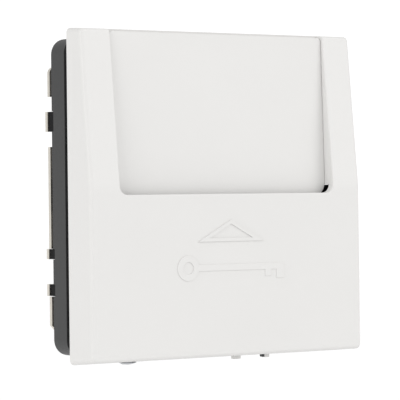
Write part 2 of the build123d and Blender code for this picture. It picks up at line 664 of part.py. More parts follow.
def aerial_pins():
    x, z = AERIAL_PLUG
    return Compound(children=pin_row(x, z, 4, AERIAL_PIN_TIP, Y_BOARD_BACK + 0.5))


# ---------------------------------------------------------------- lever, pin, spring, switch
def card_lever():
    half = LEVER_W / 2
    tip_y = Y_BEND + PANEL_T + NOSE_TIP_GAP
    front = Y_PIVOT - ARM_T / 2
    d = [PIVOT_Z - drop for drop in NOSE_DROP]
    arm = yz_prism(((front, PIVOT_Z), (front, d[0]), (tip_y, d[1]), (tip_y, d[2]), (front, d[3]),
                    (Y_ARM_BACK, d[3]), (Y_ARM_BACK, PIVOT_Z)), -half, half)
    lever = arm + rod_x(Y_PIVOT, PIVOT_Z, HUB_R, -half, half)
    lever -= block(-half - PAST, half + PAST, Y_ARM_BACK, Y_ARM_BACK + 2, PIVOT_Z - 12, PIVOT_Z - HUB_R)
    lever += block(half - 0.5, spring_x0() + SPRING_WIRE / 2, Y_ARM_BACK - PEG_REST_T,
                   Y_PIVOT + SPRING_R - SPRING_WIRE / 2 - TOUCH_GAP,
                   PIVOT_Z - SPRING_LEG, PIVOT_Z - SPRING_LEG + 1.0)
    return lever - rod_x(Y_PIVOT, PIVOT_Z, PIN_R + RUNNING_FIT, -half - PAST, half + PAST)


def lever_pin():
    left, right = ear_places()
    proud, head_t = PIN_HEAD
    return rod_x(Y_PIVOT, PIVOT_Z, PIN_R, left, right + PIVOT_EAR_T + proud) + \
        rod_x(Y_PIVOT, PIVOT_Z, PIN_R + proud, left - head_t, left)


def lever_spring():
    """Torsion spring round the pin; its legs press on the lever's peg and the guide's stop."""
    length = SPRING_TURNS * SPRING_PITCH
    path = Helix(SPRING_PITCH, length, SPRING_R)
    section = Plane(path @ 0, x_dir=(1, 0, 0), z_dir=path % 0) * Rectangle(SPRING_WIRE, SPRING_WIRE)
    seat = Plane((spring_x0(), Y_PIVOT, PIVOT_Z), x_dir=(0, 1, 0), z_dir=(1, 0, 0))
    spring = seat * sweep(section, path=path, is_frenet=True)
    y, t = Y_PIVOT + SPRING_R, SPRING_WIRE / 2 + LEG_EXTRA
    for x, z0, z1 in ((spring_x0(), -SPRING_LEG, t), (spring_x0() + length, -t, SPRING_LEG)):
        spring += block(x - t, x + t, y - t, y + t, PIVOT_Z + z0, PIVOT_Z + z1)
    return spring


def microswitch_body():
    w, d, h = SWITCH_SIZE
    bw, bh = BUTTON_SIZE
    body = block(SWITCH_SHIFT - w / 2, SWITCH_SHIFT + w / 2, Y_SWITCH, Y_BOARD,
                 BUTTON_Z - h / 2, BUTTON_Z + h / 2)
    body = chamfer(body.edges().filter_by(Axis.Z), SWITCH_CHAMFER)
    out, up, radius = SWITCH_HOLES
    for x in (SWITCH_SHIFT - out, SWITCH_SHIFT + out):
        body -= rod_z(x, Y_BOARD - up, radius, BUTTON_Z - h, BUTTON_Z + h)
    return body - block(-bw / 2 - BUTTON_FIT, bw / 2 + BUTTON_FIT, Y_SWITCH - PAST,
                        Y_SWITCH + BUTTON_WELL, BUTTON_Z - bh / 2 - BUTTON_FIT,
                        BUTTON_Z + bh / 2 + BUTTON_FIT)


def microswitch_button():
    bw, bh = BUTTON_SIZE
    button = block(-bw / 2, bw / 2, Y_BUTTON, Y_SWITCH + BUTTON_IN,
                   BUTTON_Z - bh / 2, BUTTON_Z + bh / 2)
    return fillet(button.edges().filter_by(Axis.X).group_by(Axis.Y)[0], SWITCH_CHAMFER)


def microswitch_pins():
    w, t = SWITCH_LEG
    legs = [SWITCH_SHIFT + dx for dx in SWITCH_LEGS]
    return Compound(children=[block(x - w / 2, x + w / 2, Y_BOARD, Y_BOARD_BACK + SWITCH_LEG_END,
                                    BUTTON_Z - t / 2, BUTTON_Z + t / 2) for x in legs])


# ---------------------------------------------------------------- reader board
def board_screw_places():
    return grid((-BOARD_SCREW_X, BOARD_SCREW_X), (-BOARD_SCREW_Z, BOARD_SCREW_Z))


def reader_board():
    w, h = READER_BOARD
    board = slab(w, h, 1.5, Y_BOARD, Y_BOARD_BACK)
    for x, z in board_screw_places():
        board -= rod_y(x, z, BOARD_SCREW_R + SCREW_FIT, Y_BOARD - PAST, Y_BOARD_BACK + PAST)
    half_w, half_t = [size / 2 + SWITCH_LEG_FIT for size in SWITCH_LEG]
    for dx in SWITCH_LEGS:
        x = SWITCH_SHIFT + dx
        board -= block(x - half_w, x + half_w, Y_BOARD - PAST, Y_BOARD_BACK + PAST,
                       BUTTON_Z - half_t, BUTTON_Z + half_t)
    return with_pin_holes(board, *AERIAL_PLUG, 4, Y_BOARD - PAST, Y_BOARD_BACK + PAST)


def board_screws():
    pieces = []
    for x, z in board_screw_places():
        head = rod_y(x, z, BOARD_HEAD_R, Y_BOARD - BOARD_HEAD_T, Y_BOARD)
        head -= cross_recess(x, z, Y_BOARD - BOARD_HEAD_T, *BOARD_RECESS)
        pieces.append(head + rod_y(x, z, BOARD_SCREW_R, Y_BOARD - LAP,
                                   Y_BASE - BOARD_SCREW_SKIN - SCREW_FIT))
    return Compound(children=pieces)


def chip(x, z, w, h, t):
    return block(x - w / 2, x + w / 2, Y_BOARD - t, Y_BOARD, z - h / 2, z + h / 2)


def reader_chips():
    return Compound(children=[chip(*places) for places in CHIPS])


def clock_crystal():
    x, z = CRYSTAL_AT
    depth, rim = CRYSTAL_DEPTH
    can = slab(*CRYSTAL_CAN, Y_BOARD - depth, Y_BOARD - rim, x=x, z=z)
    return can + slab(*CRYSTAL_RIM, Y_BOARD - rim, Y_BOARD, x=x, z=z)


def board_passives():
    rows = []
    for (x, z), (dx, dz), count, size in PASSIVE_ROWS:
        rows += [chip(x + i * dx, z + i * dz, *size) for i in range(count)]
    return Compound(children=rows)


# ---------------------------------------------------------------- base
def box_screw_window(x):
    """Room in the floor for the head of a wall-box screw, driven before the base goes on."""
    return slab(2 * BOX_HEAD_R, 2 * BOX_HEAD_R + 0.2, 1.0, Y_FLOOR - PAST, Y_BASE + PAST, x=x)


def pads():
    inner, outer = [BASE_HALF_W - inset for inset in PAD_X]
    (upper_foot, upper_top), (lower_foot, lower_top) = NOTCHES
    spans = ((PLATE_FOOT, lower_foot), (lower_top, -BOX_HEAD_R), (BOX_HEAD_R, upper_foot),
             (upper_top, PLATE_TOP))
    return [block(inner, outer, Y_BASE - LAP, Y_PLATE, z0 + PAD_END, z1 - PAD_END)
            for z0, z1 in spans]


def rear_base():
    w, h, mid = 2 * BASE_HALF_W, BASE_Z1 - BASE_Z0, BASE_MID
    base = slab(w, h, BASE_R, Y_SHELF, Y_BASE, z=mid)
    base -= slab(w - 2 * BASE_WALL, h - 2 * BASE_WALL, BASE_R - BASE_WALL, Y_SHELF + SHELF_T, Y_FLOOR,
                 z=mid)
    uw, uh = 2 * UP_HALF_W, UP_Z1 - UP_Z0
    base += slab(uw, uh, UPSTAND_R, Y_UPSTAND, Y_SHELF + SHELF_T / 2, z=mid)
    base -= slab(uw - 2 * UPSTAND_WALL, uh - 2 * UPSTAND_WALL, UPSTAND_R - UPSTAND_WALL,
                 Y_UPSTAND - PAST, Y_SHELF + SHELF_T + 0.1, z=mid)
    base += fuse([both_sides(p) for p in pads()])
    for z0, z1 in CLIPS:
        base -= both_sides(clip_seat(z0, z1))
    for x in (-HOLE_SPACING / 2, HOLE_SPACING / 2):
        base -= box_screw_window(x)
    base -= slab(4 * PIN_PITCH + 2.4, 2 * PIN_PITCH + 2.4, 0.5, Y_FLOOR - PAST, Y_BASE + PAST, z=LINK_Z)
    for x, z in board_screw_places():
        base += rod_y(x, z, STANDOFF_R, Y_BOARD_BACK, Y_FLOOR + LAP)
        base -= rod_y(x, z, BOARD_SCREW_R + SCREW_FIT, Y_BOARD_BACK - PAST, Y_BASE - BOARD_SCREW_SKIN)
    for x, z in insert_screw_places():
        base -= rod_y(x, z, INSERT_SCREW_R + SCREW_FIT, Y_FLOOR - PAST, Y_BASE + PAST)
        base -= sunk_head(x, z, SCREW_FIT)
    return with_cover_fixings(base)


def with_cover_fixings(base):
    bw, bd, bh = LOCK_BOSS
    z0 = UP_Z0 - LOCK_BOSS_DROP
    base += block(LOCK_X - bw / 2, LOCK_X + bw / 2, Y_LOCK - bd / 2, Y_SHELF + SHELF_T / 2, z0, z0 + bh)
    base -= rod_z(LOCK_X, Y_LOCK, LOCK_R + SCREW_FIT, z0 - PAST, z0 + bh + PAST)
    x1 = PEG_X[1] - PEG_W[1] / 2
    front, back = Y_PEG - PEG_DEPTH / 2, Y_PEG + PEG_DEPTH / 2
    base += block(x1 - TONGUE_W - 1.5, x1, front, Y_UPSTAND + 2, z0, UP_Z0 + UPSTAND_WALL)
    base += block(x1 - TONGUE_W, x1 - 0.05, front, back,
                  bottom_z(Y_PEG) - PEG_LENGTH * 0.8, z0 + 0.5)
    for x in (-TOP_HOOK_X, TOP_HOOK_X):
        half = TOP_HOOK_W / 2 + 0.5
        base -= block(x - half, x + half, Y_COVER - TOP_HOOK_T - 0.3, Y_COVER + 0.3,
                      UP_Z1 - 0.5, UP_Z1 + PAST)
    return base


def cover_locking_screw():
    top = bottom_z(Y_LOCK)
    rise = math.sqrt(LOCK_DOME_R ** 2 - LOCK_HEAD_R ** 2)
    width, depth = LOCK_SLOT
    dome = Pos(LOCK_X, Y_LOCK, top + rise) * Sphere(LOCK_DOME_R)
    head = dome & block(LOCK_X - 5, LOCK_X + 5, Y_LOCK - 5, Y_LOCK + 5, top - 5, top)
    foot = top + rise - LOCK_DOME_R
    head -= block(LOCK_X - 5, LOCK_X + 5, Y_LOCK - width / 2, Y_LOCK + width / 2, foot - PAST, foot + depth)
    return head + rod_z(LOCK_X, Y_LOCK, LOCK_R, top - 0.1, UP_Z0 + LOCK_END)


# ---------------------------------------------------------------- plate clips
def clip_pieces(z0, z1, fit=0.0):
    """Foot in the plate's notch, arm under the base's back, stem and head; right-hand side."""
    outer = BASE_HALF_W - CLIP_INSET
    x_foot = outer - CLIP_W
    x_stem = x_foot + CLIP_STEP - CLIP_STEM
    head_w, head_t = CLIP_HEAD
    y_arm = Y_BASE - CLIP_SUNK
    return [block(x_foot - fit, outer + fit, y_arm - fit, CLIP_BACK, z0 - fit, z1 + fit),
            block(x_stem - fit, outer + fit, y_arm - fit, Y_PLATE - LAP, z0 - fit, z1 + fit),
            block(x_stem - fit, x_foot + CLIP_STEP + fit, Y_FLOOR - fit, y_arm + LAP / 2, z0 - fit, z1 + fit),
            block(x_foot + CLIP_STEP - head_w, x_foot + CLIP_STEP, Y_FLOOR - head_t, Y_FLOOR, z0, z1)]


def clip_seat(z0, z1):
    """Recess and slot in the base, open to the side that the clip's foot shows on."""
    foot, arm, stem, _ = clip_pieces(z0, z1, CLIP_FIT)
    side = block(BASE_HALF_W - CLIP_INSET, BASE_HALF_W + PAST, Y_BASE - CLIP_SUNK - CLIP_FIT, Y_BASE + PAST,
                 z0 - CLIP_FIT, z1 + CLIP_FIT)
    return fuse([foot, arm, stem, side])


def plate_clips():
    clips = [fuse(clip_pieces(z0, z1)) for z0, z1 in CLIPS]
    return Compound(children=clips + [mirror(clip, Plane.YZ) for clip in clips])


# ---------------------------------------------------------------- support plate
def support_plate():
    w = 2 * BASE_HALF_W
    plate = block(-w / 2, w / 2, Y_PLATE, 0, PLATE_FOOT, PLATE_TOP)
    uprights = plate.edges().filter_by(Axis.Y).group_by(Axis.Z)
    plate = chamfer(uprights[0], PLATE_CHAMFER)
    plate = fillet(plate.edges().filter_by(Axis.Y).group_by(Axis.Z)[-1], PLATE_TOP_R)
    for z0, z1 in NOTCHES:
        for side in (-1, 1):
            plate -= block(side * (w / 2 - NOTCH_DEPTH), side * (w / 2 + PAST), Y_PLATE - PAST, 1, z0, z1)
    cut_w = HOUSING_W + 2 * HOUSING_FIT
    cut_h = HOUSING_H + 2 * HOUSING_FIT
    plate -= slab(cut_w, cut_h, HOUSING_R + HOUSING_FIT, Y_PLATE - PAST, 1)
    for x in (-HOLE_SPACING / 2, HOLE_SPACING / 2):
        plate -= rod_y(x, 0, HOLE_R, Y_PLATE - PAST, 1)
    for z0, z1 in CLIPS:
        plate += both_sides(foot_tongue(z0, z1))
    return plate


def foot_tongue(z0, z1):
    """Tongue set back behind a notch; its rear face rests on the wall."""
    inner = BASE_HALF_W - NOTCH_DEPTH - FOOT_STEP
    tongue = block(inner, BASE_HALF_W - FOOT_INSET, FOOT_BACK - PLATE_T, FOOT_BACK, z0, z1)
    return tongue + block(inner, inner + FOOT_STEP, Y_PLATE, FOOT_BACK, z0, z1)


# ---------------------------------------------------------------- rear housing and power board
def insert_screw_places():
    return grid((-POST_X, POST_X), (-POST_Z, POST_Z))


def sunk_head(x, z, fit=0.0):
    cone = Cone(INSERT_SCREW_R + fit, INSERT_HEAD_R + fit, INSERT_HEAD_T)
    return Pos(x, Y_FLOOR + INSERT_HEAD_T / 2, z) * Rot(90, 0, 0) * cone


def insert_screws():
    pieces = []
    for x, z in insert_screw_places():
        head = sunk_head(x, z) - cross_recess(x, z, Y_FLOOR, *INSERT_RECESS)
        pieces.append(head + rod_y(x, z, INSERT_SCREW_R, Y_FLOOR + INSERT_HEAD_T - 0.1, INSERT_SCREW_END))
    return Compound(children=pieces)


def rear_housing():
    body = slab(HOUSING_W, HOUSING_H, HOUSING_R, Y_BASE, HOUSING_BACK)
    body += slab(*HOUSING_FLANGE, HOUSING_R, 0, FLANGE_T)
    body -= slab(HOUSING_W - 2 * HOUSING_WALL, HOUSING_H - 2 * HOUSING_WALL, 0.5,
                 Y_BASE - PAST, Y_HOUSING_IN)
    for x, z in insert_screw_places():
        half = CORNER_POST / 2 + 0.1
        body += block(x - half, x + half, Y_POWER, Y_HOUSING_IN + LAP, z - half, z + half)
        body -= rod_y(x, z, INSERT_SCREW_R + SCREW_FIT, Y_POWER - PAST, INSERT_SCREW_END + 0.3)
    half = TERMINAL_W / 2 + WINDOW_FIT
    z1 = TERMINAL_Z0 + TERMINAL_H + WINDOW_FIT
    body -= block(-half, half, Y_POWER - LAP, HOUSING_BACK + PAST, TERMINAL_Z0 - PAST,
                  TERMINAL_Z0 + HOUSING_WALL + 0.1)
    return body - block(-half, half, Y_HOUSING_IN - PAST, HOUSING_BACK + PAST, TERMINAL_Z0 - PAST, z1)


def power_board():
    w = HOUSING_W - 2 * HOUSING_WALL - 2 * POWER_BOARD_GAP
    h = HOUSING_H - 2 * HOUSING_WALL - 2 * POWER_BOARD_GAP
    board = slab(w, h, 1.0, POWER_BOARD_Y, Y_POWER)
    for x, z in insert_screw_places():
        board -= rod_y(x, z, INSERT_SCREW_R + SCREW_FIT, POWER_BOARD_Y - PAST, Y_POWER + PAST)
    return with_pin_holes(board, 0, LINK_Z, 4, POWER_BOARD_Y - PAST, Y_POWER + PAST, rows=2)


def on_power_board(x0, x1, z0, z1, height):
    return block(x0, x1, Y_POWER, Y_POWER + height, z0, z1)


def relay():
    can = on_power_board(*RELAY)
    return fillet(can.edges().filter_by(Axis.Y), RELAY_R)


def supply_capacitor():
    x, z, radius, height = CAPACITOR
    can = rod_y(x, z, radius, Y_POWER, Y_POWER + height)
    return fillet(can.edges().group_by(Axis.Y)[-1], CAPACITOR_R)


def film_capacitor():
    can = on_power_board(*FILM_CAPACITOR)
    return fillet(can.edges().filter_by(Axis.Y), FILM_CAPACITOR_R)


def supply_choke():
    x, z = CHOKE_AT
    cheek, core = CHOKE_RADII
    top = Y_POWER + CHOKE_HEIGHT
    choke = rod_y(x, z, core, Y_POWER + CHOKE_CHEEK - LAP, top - CHOKE_CHEEK + LAP)
    choke += rod_y(x, z, cheek, Y_POWER, Y_POWER + CHOKE_CHEEK)
    return choke + rod_y(x, z, cheek, top - CHOKE_CHEEK, top)


def varistor():
    x0, x1, z, radius = VARISTOR
    piece = rod_x(Y_POWER + VARISTOR_UP, z, radius, x0, x1)
    for dz in VARISTOR_LEADS:
        piece += rod_y((x0 + x1) / 2, z + dz, LEAD_R, Y_POWER, Y_POWER + VARISTOR_LEAD)
    return piece


def fuse_resistor():
    x0, x1, z, radius = RESISTOR
    y = Y_POWER + RESISTOR_UP
    piece = rod_x(y, z, radius, x0, x1) + rod_x(y, z, LEAD_R, *RESISTOR_LEADS)
    for x in RESISTOR_LEADS:
        piece += rod_y(x, z, LEAD_R, Y_POWER, y)
    return piece


# ---------------------------------------------------------------- board-to-board plug
LINK_SOCKET_Y = Y_BOARD_BACK + 3.0
LINK_PIN_TIP = Y_BOARD_BACK + 0.4
LINK_HEADER_Y = POWER_BOARD_Y - 2.5


def link_socket():
    body = plug_body(0, LINK_Z, 4, Y_BOARD_BACK, LINK_SOCKET_Y, rows=2)
    return with_pin_holes(body, 0, LINK_Z, 4, LINK_PIN_TIP - 0.1, LINK_SOCKET_Y + PAST, rows=2)


def link_header():
    body = plug_body(0, LINK_Z, 4, LINK_HEADER_Y, POWER_BOARD_Y, rows=2)
    return with_pin_holes(body, 0, LINK_Z, 4, LINK_HEADER_Y - PAST, POWER_BOARD_Y + PAST, rows=2)


def link_pins():
    return Compound(children=pin_row(0, LINK_Z, 4, LINK_PIN_TIP, Y_POWER + 0.8, rows=2))


# ---------------------------------------------------------------- mains terminals
CLAMP_BACK = Y_TERMINAL - TERMINAL_SUNK


def terminal_block():
    body = block(-TERMINAL_W / 2, TERMINAL_W / 2, Y_POWER, Y_TERMINAL, TERMINAL_Z0, TERMINAL_Z0 + TERMINAL_H)
    cw, cd, ch = [size + 2 * CLAMP_FIT for size in CLAMP_SIZE]
    ww, wd = WIRE_HOLE
    wire_y = CLAMP_BACK - CLAMP_SIZE[1] + CLAMP_FLOOR + wd / 2
    for x in POLE_XS:
        body -= block(x - cw / 2, x + cw / 2, CLAMP_BACK - cd, CLAMP_BACK,
                      TERMINAL_Z - ch / 2, TERMINAL_Z + ch / 2)
        body -= rod_y(x, TERMINAL_Z, TERMINAL_HEAD_R + TERMINAL_HEAD_FIT, CLAMP_BACK - LAP / 2,
                      Y_TERMINAL + PAST)
        body -= block(x - ww / 2, x + ww / 2, wire_y - wd / 2, wire_y + wd / 2,
                      TERMINAL_Z0 - PAST, TERMINAL_Z)
    return body


def terminal_clamps():
    w, d, h = CLAMP_SIZE
    ww, wd = WIRE_HOLE
    y0 = CLAMP_BACK - CLAMP_FIT - d
    pieces = []
    for x in POLE_XS:
        cage = block(x - w / 2, x + w / 2, y0, y0 + d, TERMINAL_Z - h / 2, TERMINAL_Z + h / 2)
        cage -= block(x - ww / 2, x + ww / 2, y0 + CLAMP_FLOOR, y0 + CLAMP_FLOOR + wd,
                      TERMINAL_Z - h, TERMINAL_Z + h)
        cage -= rod_y(x, TERMINAL_Z, TERMINAL_SCREW_R + SCREW_FIT, y0 + CLAMP_FLOOR,
                      y0 + d + PAST)
        pieces.append(cage)
    return Compound(children=pieces)


def terminal_screws():
    pieces = []
    y = CLAMP_BACK + SCREW_LIFT
    width, depth = TERMINAL_SLOT
    for x in POLE_XS:
        screw = rod_y(x, TERMINAL_Z, TERMINAL_HEAD_R, y, y + TERMINAL_HEAD_T)
        screw += rod_y(x, TERMINAL_Z, TERMINAL_SCREW_R, y - TERMINAL_STEM, y + LAP / 2)
        screw -= block(x - 2 * TERMINAL_HEAD_R, x + 2 * TERMINAL_HEAD_R, y + TERMINAL_HEAD_T - depth,
                       y + TERMINAL_HEAD_T + PAST, TERMINAL_Z - width / 2, TERMINAL_Z + width / 2)
        pieces.append(screw)
    return Compound(children=pieces)


# ---------------------------------------------------------------- write the nodes
NODES = (front_cover, card_rest_plate, card_guide, guide_screws, aerial_board, aerial_coil,
         aerial_socket, aerial_header, aerial_pins, card_lever, lever_pin, lever_spring,
         microswitch_body, microswitch_button, microswitch_pins, reader_board, board_screws,
         reader_chips, clock_crystal, board_passives, rear_base, cover_locking_screw,
         plate_clips, support_plate, rear_housing, insert_screws, power_board, relay,
         supply_capacitor, film_capacitor, supply_choke, varistor, fuse_resistor, link_socket,
         link_header, link_pins, terminal_block, terminal_clamps, terminal_screws)


def main():
    os.makedirs("parts", exist_ok=True)
    for make in NODES:
        export_step(make(), os.path.join("parts", make.__name__ + ".step"))


if __name__ == "__main__":
    main()
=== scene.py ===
import math

import bmesh
import bpy
from bpy.props import FloatProperty, FloatVectorProperty, IntProperty, PointerProperty
from mathutils import Matrix, Vector


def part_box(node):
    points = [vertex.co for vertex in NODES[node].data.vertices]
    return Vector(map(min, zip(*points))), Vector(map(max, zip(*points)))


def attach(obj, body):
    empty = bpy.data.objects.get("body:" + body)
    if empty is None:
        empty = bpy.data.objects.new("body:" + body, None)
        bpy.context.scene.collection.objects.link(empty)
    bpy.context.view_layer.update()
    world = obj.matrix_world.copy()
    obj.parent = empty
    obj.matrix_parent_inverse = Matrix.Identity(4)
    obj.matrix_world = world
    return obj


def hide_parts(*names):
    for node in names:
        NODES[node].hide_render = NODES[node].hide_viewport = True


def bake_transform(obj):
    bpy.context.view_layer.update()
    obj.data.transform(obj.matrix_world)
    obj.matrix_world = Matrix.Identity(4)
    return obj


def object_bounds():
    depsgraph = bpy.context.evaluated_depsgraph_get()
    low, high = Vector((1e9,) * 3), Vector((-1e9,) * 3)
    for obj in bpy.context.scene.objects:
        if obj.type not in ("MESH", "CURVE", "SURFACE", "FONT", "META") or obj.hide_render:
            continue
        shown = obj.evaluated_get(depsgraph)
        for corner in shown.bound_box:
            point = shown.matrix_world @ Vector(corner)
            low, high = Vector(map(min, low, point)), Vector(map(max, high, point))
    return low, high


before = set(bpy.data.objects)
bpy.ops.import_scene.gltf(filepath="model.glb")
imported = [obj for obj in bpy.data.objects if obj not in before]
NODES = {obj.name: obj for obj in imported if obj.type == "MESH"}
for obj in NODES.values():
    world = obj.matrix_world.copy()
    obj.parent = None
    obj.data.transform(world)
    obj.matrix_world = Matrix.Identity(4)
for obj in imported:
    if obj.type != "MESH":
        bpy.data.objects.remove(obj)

bl_info = {
    "name": "Key-card reader",
    "version": (1, 0, 0),
    "blender": (4, 5, 0),
    "location": "View3D > Sidebar > Card reader",
    "description": "Finishes and fine detail for a flush-mounted key-card reader",
    "category": "Object",
}

MM = 0.001
WELD = 1e-7               # points closer than this are merged, in metres
CAD_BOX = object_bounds()
HOUSING = "housing"


# ---------------------------------------------------------------- shader sums
class Strand:
    """A shader value or colour that can be used in Python sums."""

    def __init__(self, finish, socket):
        self.finish = finish
        self.socket = socket

    def _sum(self, operation, *values, clamp=False):
        return self.finish.node("ShaderNodeMath", {"operation": operation, "use_clamp": clamp},
                                dict(enumerate(values)))

    def __add__(self, other):
        return self._sum("ADD", self, other)

    def __radd__(self, other):
        return self._sum("ADD", other, self)

    def __sub__(self, other):
        return self._sum("SUBTRACT", self, other)

    def __rsub__(self, other):
        return self._sum("SUBTRACT", other, self)

    def __mul__(self, other):
        return self._sum("MULTIPLY", self, other)

    def __rmul__(self, other):
        return self._sum("MULTIPLY", other, self)

    def __lt__(self, other):
        return self._sum("LESS_THAN", self, other)

    def __gt__(self, other):
        return self._sum("GREATER_THAN", self, other)

    def abs(self):
        return self._sum("ABSOLUTE", self)

    def part(self):
        return self._sum("FRACT", self)

    def clamp(self):
        return self._sum("ADD", self, 0.0, clamp=True)


class Finish:
    """One material: a Principled shader and the nodes that feed it."""

    def __init__(self, name, colour, roughness, metallic=0.0, **fixed):
        self.material = bpy.data.materials.new(name)
        self.material.use_nodes = True
        self.tree = self.material.node_tree
        self.shader = self.tree.nodes["Principled BSDF"]
        self.set("Base Color", (*colour, 1.0))
        self.set("Roughness", roughness)
        self.set("Metallic", metallic)
        for socket, value in fixed.items():
            self.set(socket.replace("_", " "), value)

    def set(self, socket, value):
        self._feed(self.shader.inputs[socket], value)

    def _feed(self, socket, value):
        if isinstance(value, Strand):
            self.tree.links.new(value.socket, socket)
        else:
            socket.default_value = value

    def node(self, kind, settings=None, values=None, out=0):
        made = self.tree.nodes.new(kind)
        for key, value in (settings or {}).items():
            setattr(made, key, value)
        for socket, value in (values or {}).items():
            self._feed(made.inputs[socket], value)
        return Strand(self, made.outputs[out])

    def place(self, scale):
        here = self.node("ShaderNodeTexCoord", out="Object")
        return self.node("ShaderNodeMapping", None, {"Vector": here, "Scale": scale})

    def along(self, axis, scale=1.0):
        return self.node("ShaderNodeSeparateXYZ", None, {"Vector": self.place((scale,) * 3)}, out=axis)

    def noise(self, size_mm, detail=3.0, stretch=(1, 1, 1), roughness=0.5):
        """Noise between about 0 and 1 with blobs of the given size."""
        spot = self.place(tuple(s / (size_mm * MM) for s in stretch))
        return self.node("ShaderNodeTexNoise", None,
                         {"Vector": spot, "Scale": 1.0, "Detail": detail, "Roughness": roughness})

    def cells(self, size_mm):
        spot = self.place((1 / (size_mm * MM),) * 3)
        return self.node("ShaderNodeTexVoronoi", {"feature": "F1"}, {"Vector": spot, "Scale": 1.0})

    def blend(self, amount, dark, light):
        pair = [value if isinstance(value, Strand) else (*value, 1.0) for value in (dark, light)]
        return self.node("ShaderNodeMix", {"data_type": "RGBA"},
                         {"Factor": amount, "A": pair[0], "B": pair[1]}, out="Result")

    def bump(self, height, depth_mm):
        self.set("Normal", self.node("ShaderNodeBump", None,
                                     {"Height": height, "Distance": depth_mm * MM, "Strength": 1.0}))


def shade(colour, factor):
    return tuple(min(1.0, c * factor) for c in colour[:3])


def dress(names, finish):
    """Gives CAD nodes a finish."""
    for name in names:
        mesh = NODES[name].data
        mesh.materials.clear()
        mesh.materials.append(finish.material)


# ---------------------------------------------------------------- finishes
def moulded_plastic(name, colour, roughness, grain_mm, grain_depth_mm, mottle=0.02, gloss=0.45):
    """Satin moulded plastic: spark-eroded grain with faint flow mottling."""
    finish = Finish(name, colour, roughness, Specular_IOR_Level=gloss)
    cloud = finish.noise(14.0, detail=2.0)
    grain = finish.noise(grain_mm, detail=4.0, roughness=0.62)
    finish.set("Base Color", finish.blend(cloud, shade(colour, 1 - mottle), shade(colour, 1 + mottle)))
    finish.set("Roughness", roughness - 0.06 + 0.1 * grain + 0.03 * cloud)
    finish.bump(grain, grain_depth_mm)
    return finish


def rolled_steel(name, colour, roughness=0.34):
    """Zinc-plated sheet: soft spangle, fine rolling streaks and a faint yellow passivation."""
    finish = Finish(name, colour, roughness, metallic=1.0)
    spangle = finish.cells(2.4)
    streak = finish.noise(0.12, detail=2.0, stretch=(1, 1, 0.03))
    cloud = finish.noise(6.0, detail=3.0)
    tone = (0.35 * spangle + 0.4 * cloud + 0.25 * streak).clamp()
    finish.set("Base Color", finish.blend(tone, shade(colour, 0.86), shade(colour, 1.1)))
    finish.set("Roughness", roughness - 0.07 + 0.16 * streak + 0.06 * cloud)
    finish.bump(streak, 0.004)
    return finish


def bright_metal(name, colour, roughness):
    """Plated screw or can: fine turning marks and a little tarnish."""
    finish = Finish(name, colour, roughness, metallic=1.0)
    cloud = finish.noise(1.2, detail=4.0)
    finish.set("Base Color", finish.blend(cloud, shade(colour, 0.84), shade(colour, 1.06)))
    finish.set("Roughness", roughness - 0.05 + 0.14 * cloud)
    finish.bump(finish.noise(0.1, detail=2.0), 0.003)
    return finish


def turned_copper(name, colour, roughness=0.3):
    """Lacquered copper: fine draw marks and darker patches of old lacquer."""
    finish = Finish(name, colour, roughness, metallic=1.0, Coat_Weight=0.4, Coat_Roughness=0.15)
    cloud = finish.noise(1.6, detail=4.0)
    finish.set("Base Color", finish.blend(cloud, shade(colour, 0.7), shade(colour, 1.12)))
    finish.set("Roughness", roughness - 0.06 + 0.16 * cloud)
    finish.bump(finish.noise(0.08, detail=2.0), 0.002)
    return finish


def circuit_board(name, colour, lane_mm):
    """Solder mask over copper: lanes of track that change direction from block to block."""
    finish = Finish(name, colour, 0.3, Coat_Weight=0.35, Coat_Roughness=0.12)
    block = finish.cells(9.0)
    lanes = [(finish.along(axis, 1 / (lane_mm * MM)).part() - 0.5).abs() < 0.26 for axis in ("X", "Z")]
    across = (block < 0.42)
    track = (across * lanes[0] + (1 - across) * lanes[1]).clamp()
    weave = finish.noise(0.35, detail=2.0)
    mask = finish.blend(weave, shade(colour, 0.85), shade(colour, 1.1))
    finish.set("Base Color", finish.blend(track * 0.75, mask, shade(colour, 1.9)))
    finish.set("Roughness", 0.3 - 0.08 * track + 0.1 * weave)
    finish.bump(0.7 * track + 0.3 * weave, 0.03)
    return finish


def glossy_moulding(name, colour, roughness=0.28):
    """Glossy moulded or dipped part with slight orange peel and dust."""
    finish = Finish(name, colour, roughness, Specular_IOR_Level=0.5)
    cloud = finish.noise(3.0, detail=4.0)
    peel = finish.noise(0.5, detail=1.0)
    finish.set("Base Color", finish.blend(cloud, shade(colour, 0.86), shade(colour, 1.1)))
    finish.set("Roughness", roughness - 0.05 + 0.16 * cloud)
    finish.bump(peel, 0.012)
    return finish


RESISTOR_BANDS = ((2.2, (0.30, 0.05, 0.02)), (3.4, (0.02, 0.02, 0.02)), (4.6, (0.02, 0.02, 0.02)),
                  (6.4, (0.5, 0.33, 0.08)))     # places in millimetres, and colours
BAND_HALF = 0.28


def banded_resistor(name, colour, bands, spot_mm):
    """Coated resistor: plain coloured rings round its body, which lies along X."""
    finish = Finish(name, colour, 0.4)
    along = finish.along("X", 1 / MM)
    paint = finish.blend(finish.noise(1.0), shade(colour, 0.88), shade(colour, 1.08))
    for place, tone in bands:
        ring = (along - (spot_mm + place)).abs() < BAND_HALF
        paint = finish.blend(ring, paint, tone)
    finish.set("Base Color", paint)
    finish.set("Roughness", 0.34 + 0.14 * finish.noise(0.6))
    finish.bump(finish.noise(0.4), 0.01)
    return finish


RULE_PITCH = 4.0          # blank label's ruled lines, in millimetres
RULE_HALF = 0.03          # half of a line's width, as a share of the pitch


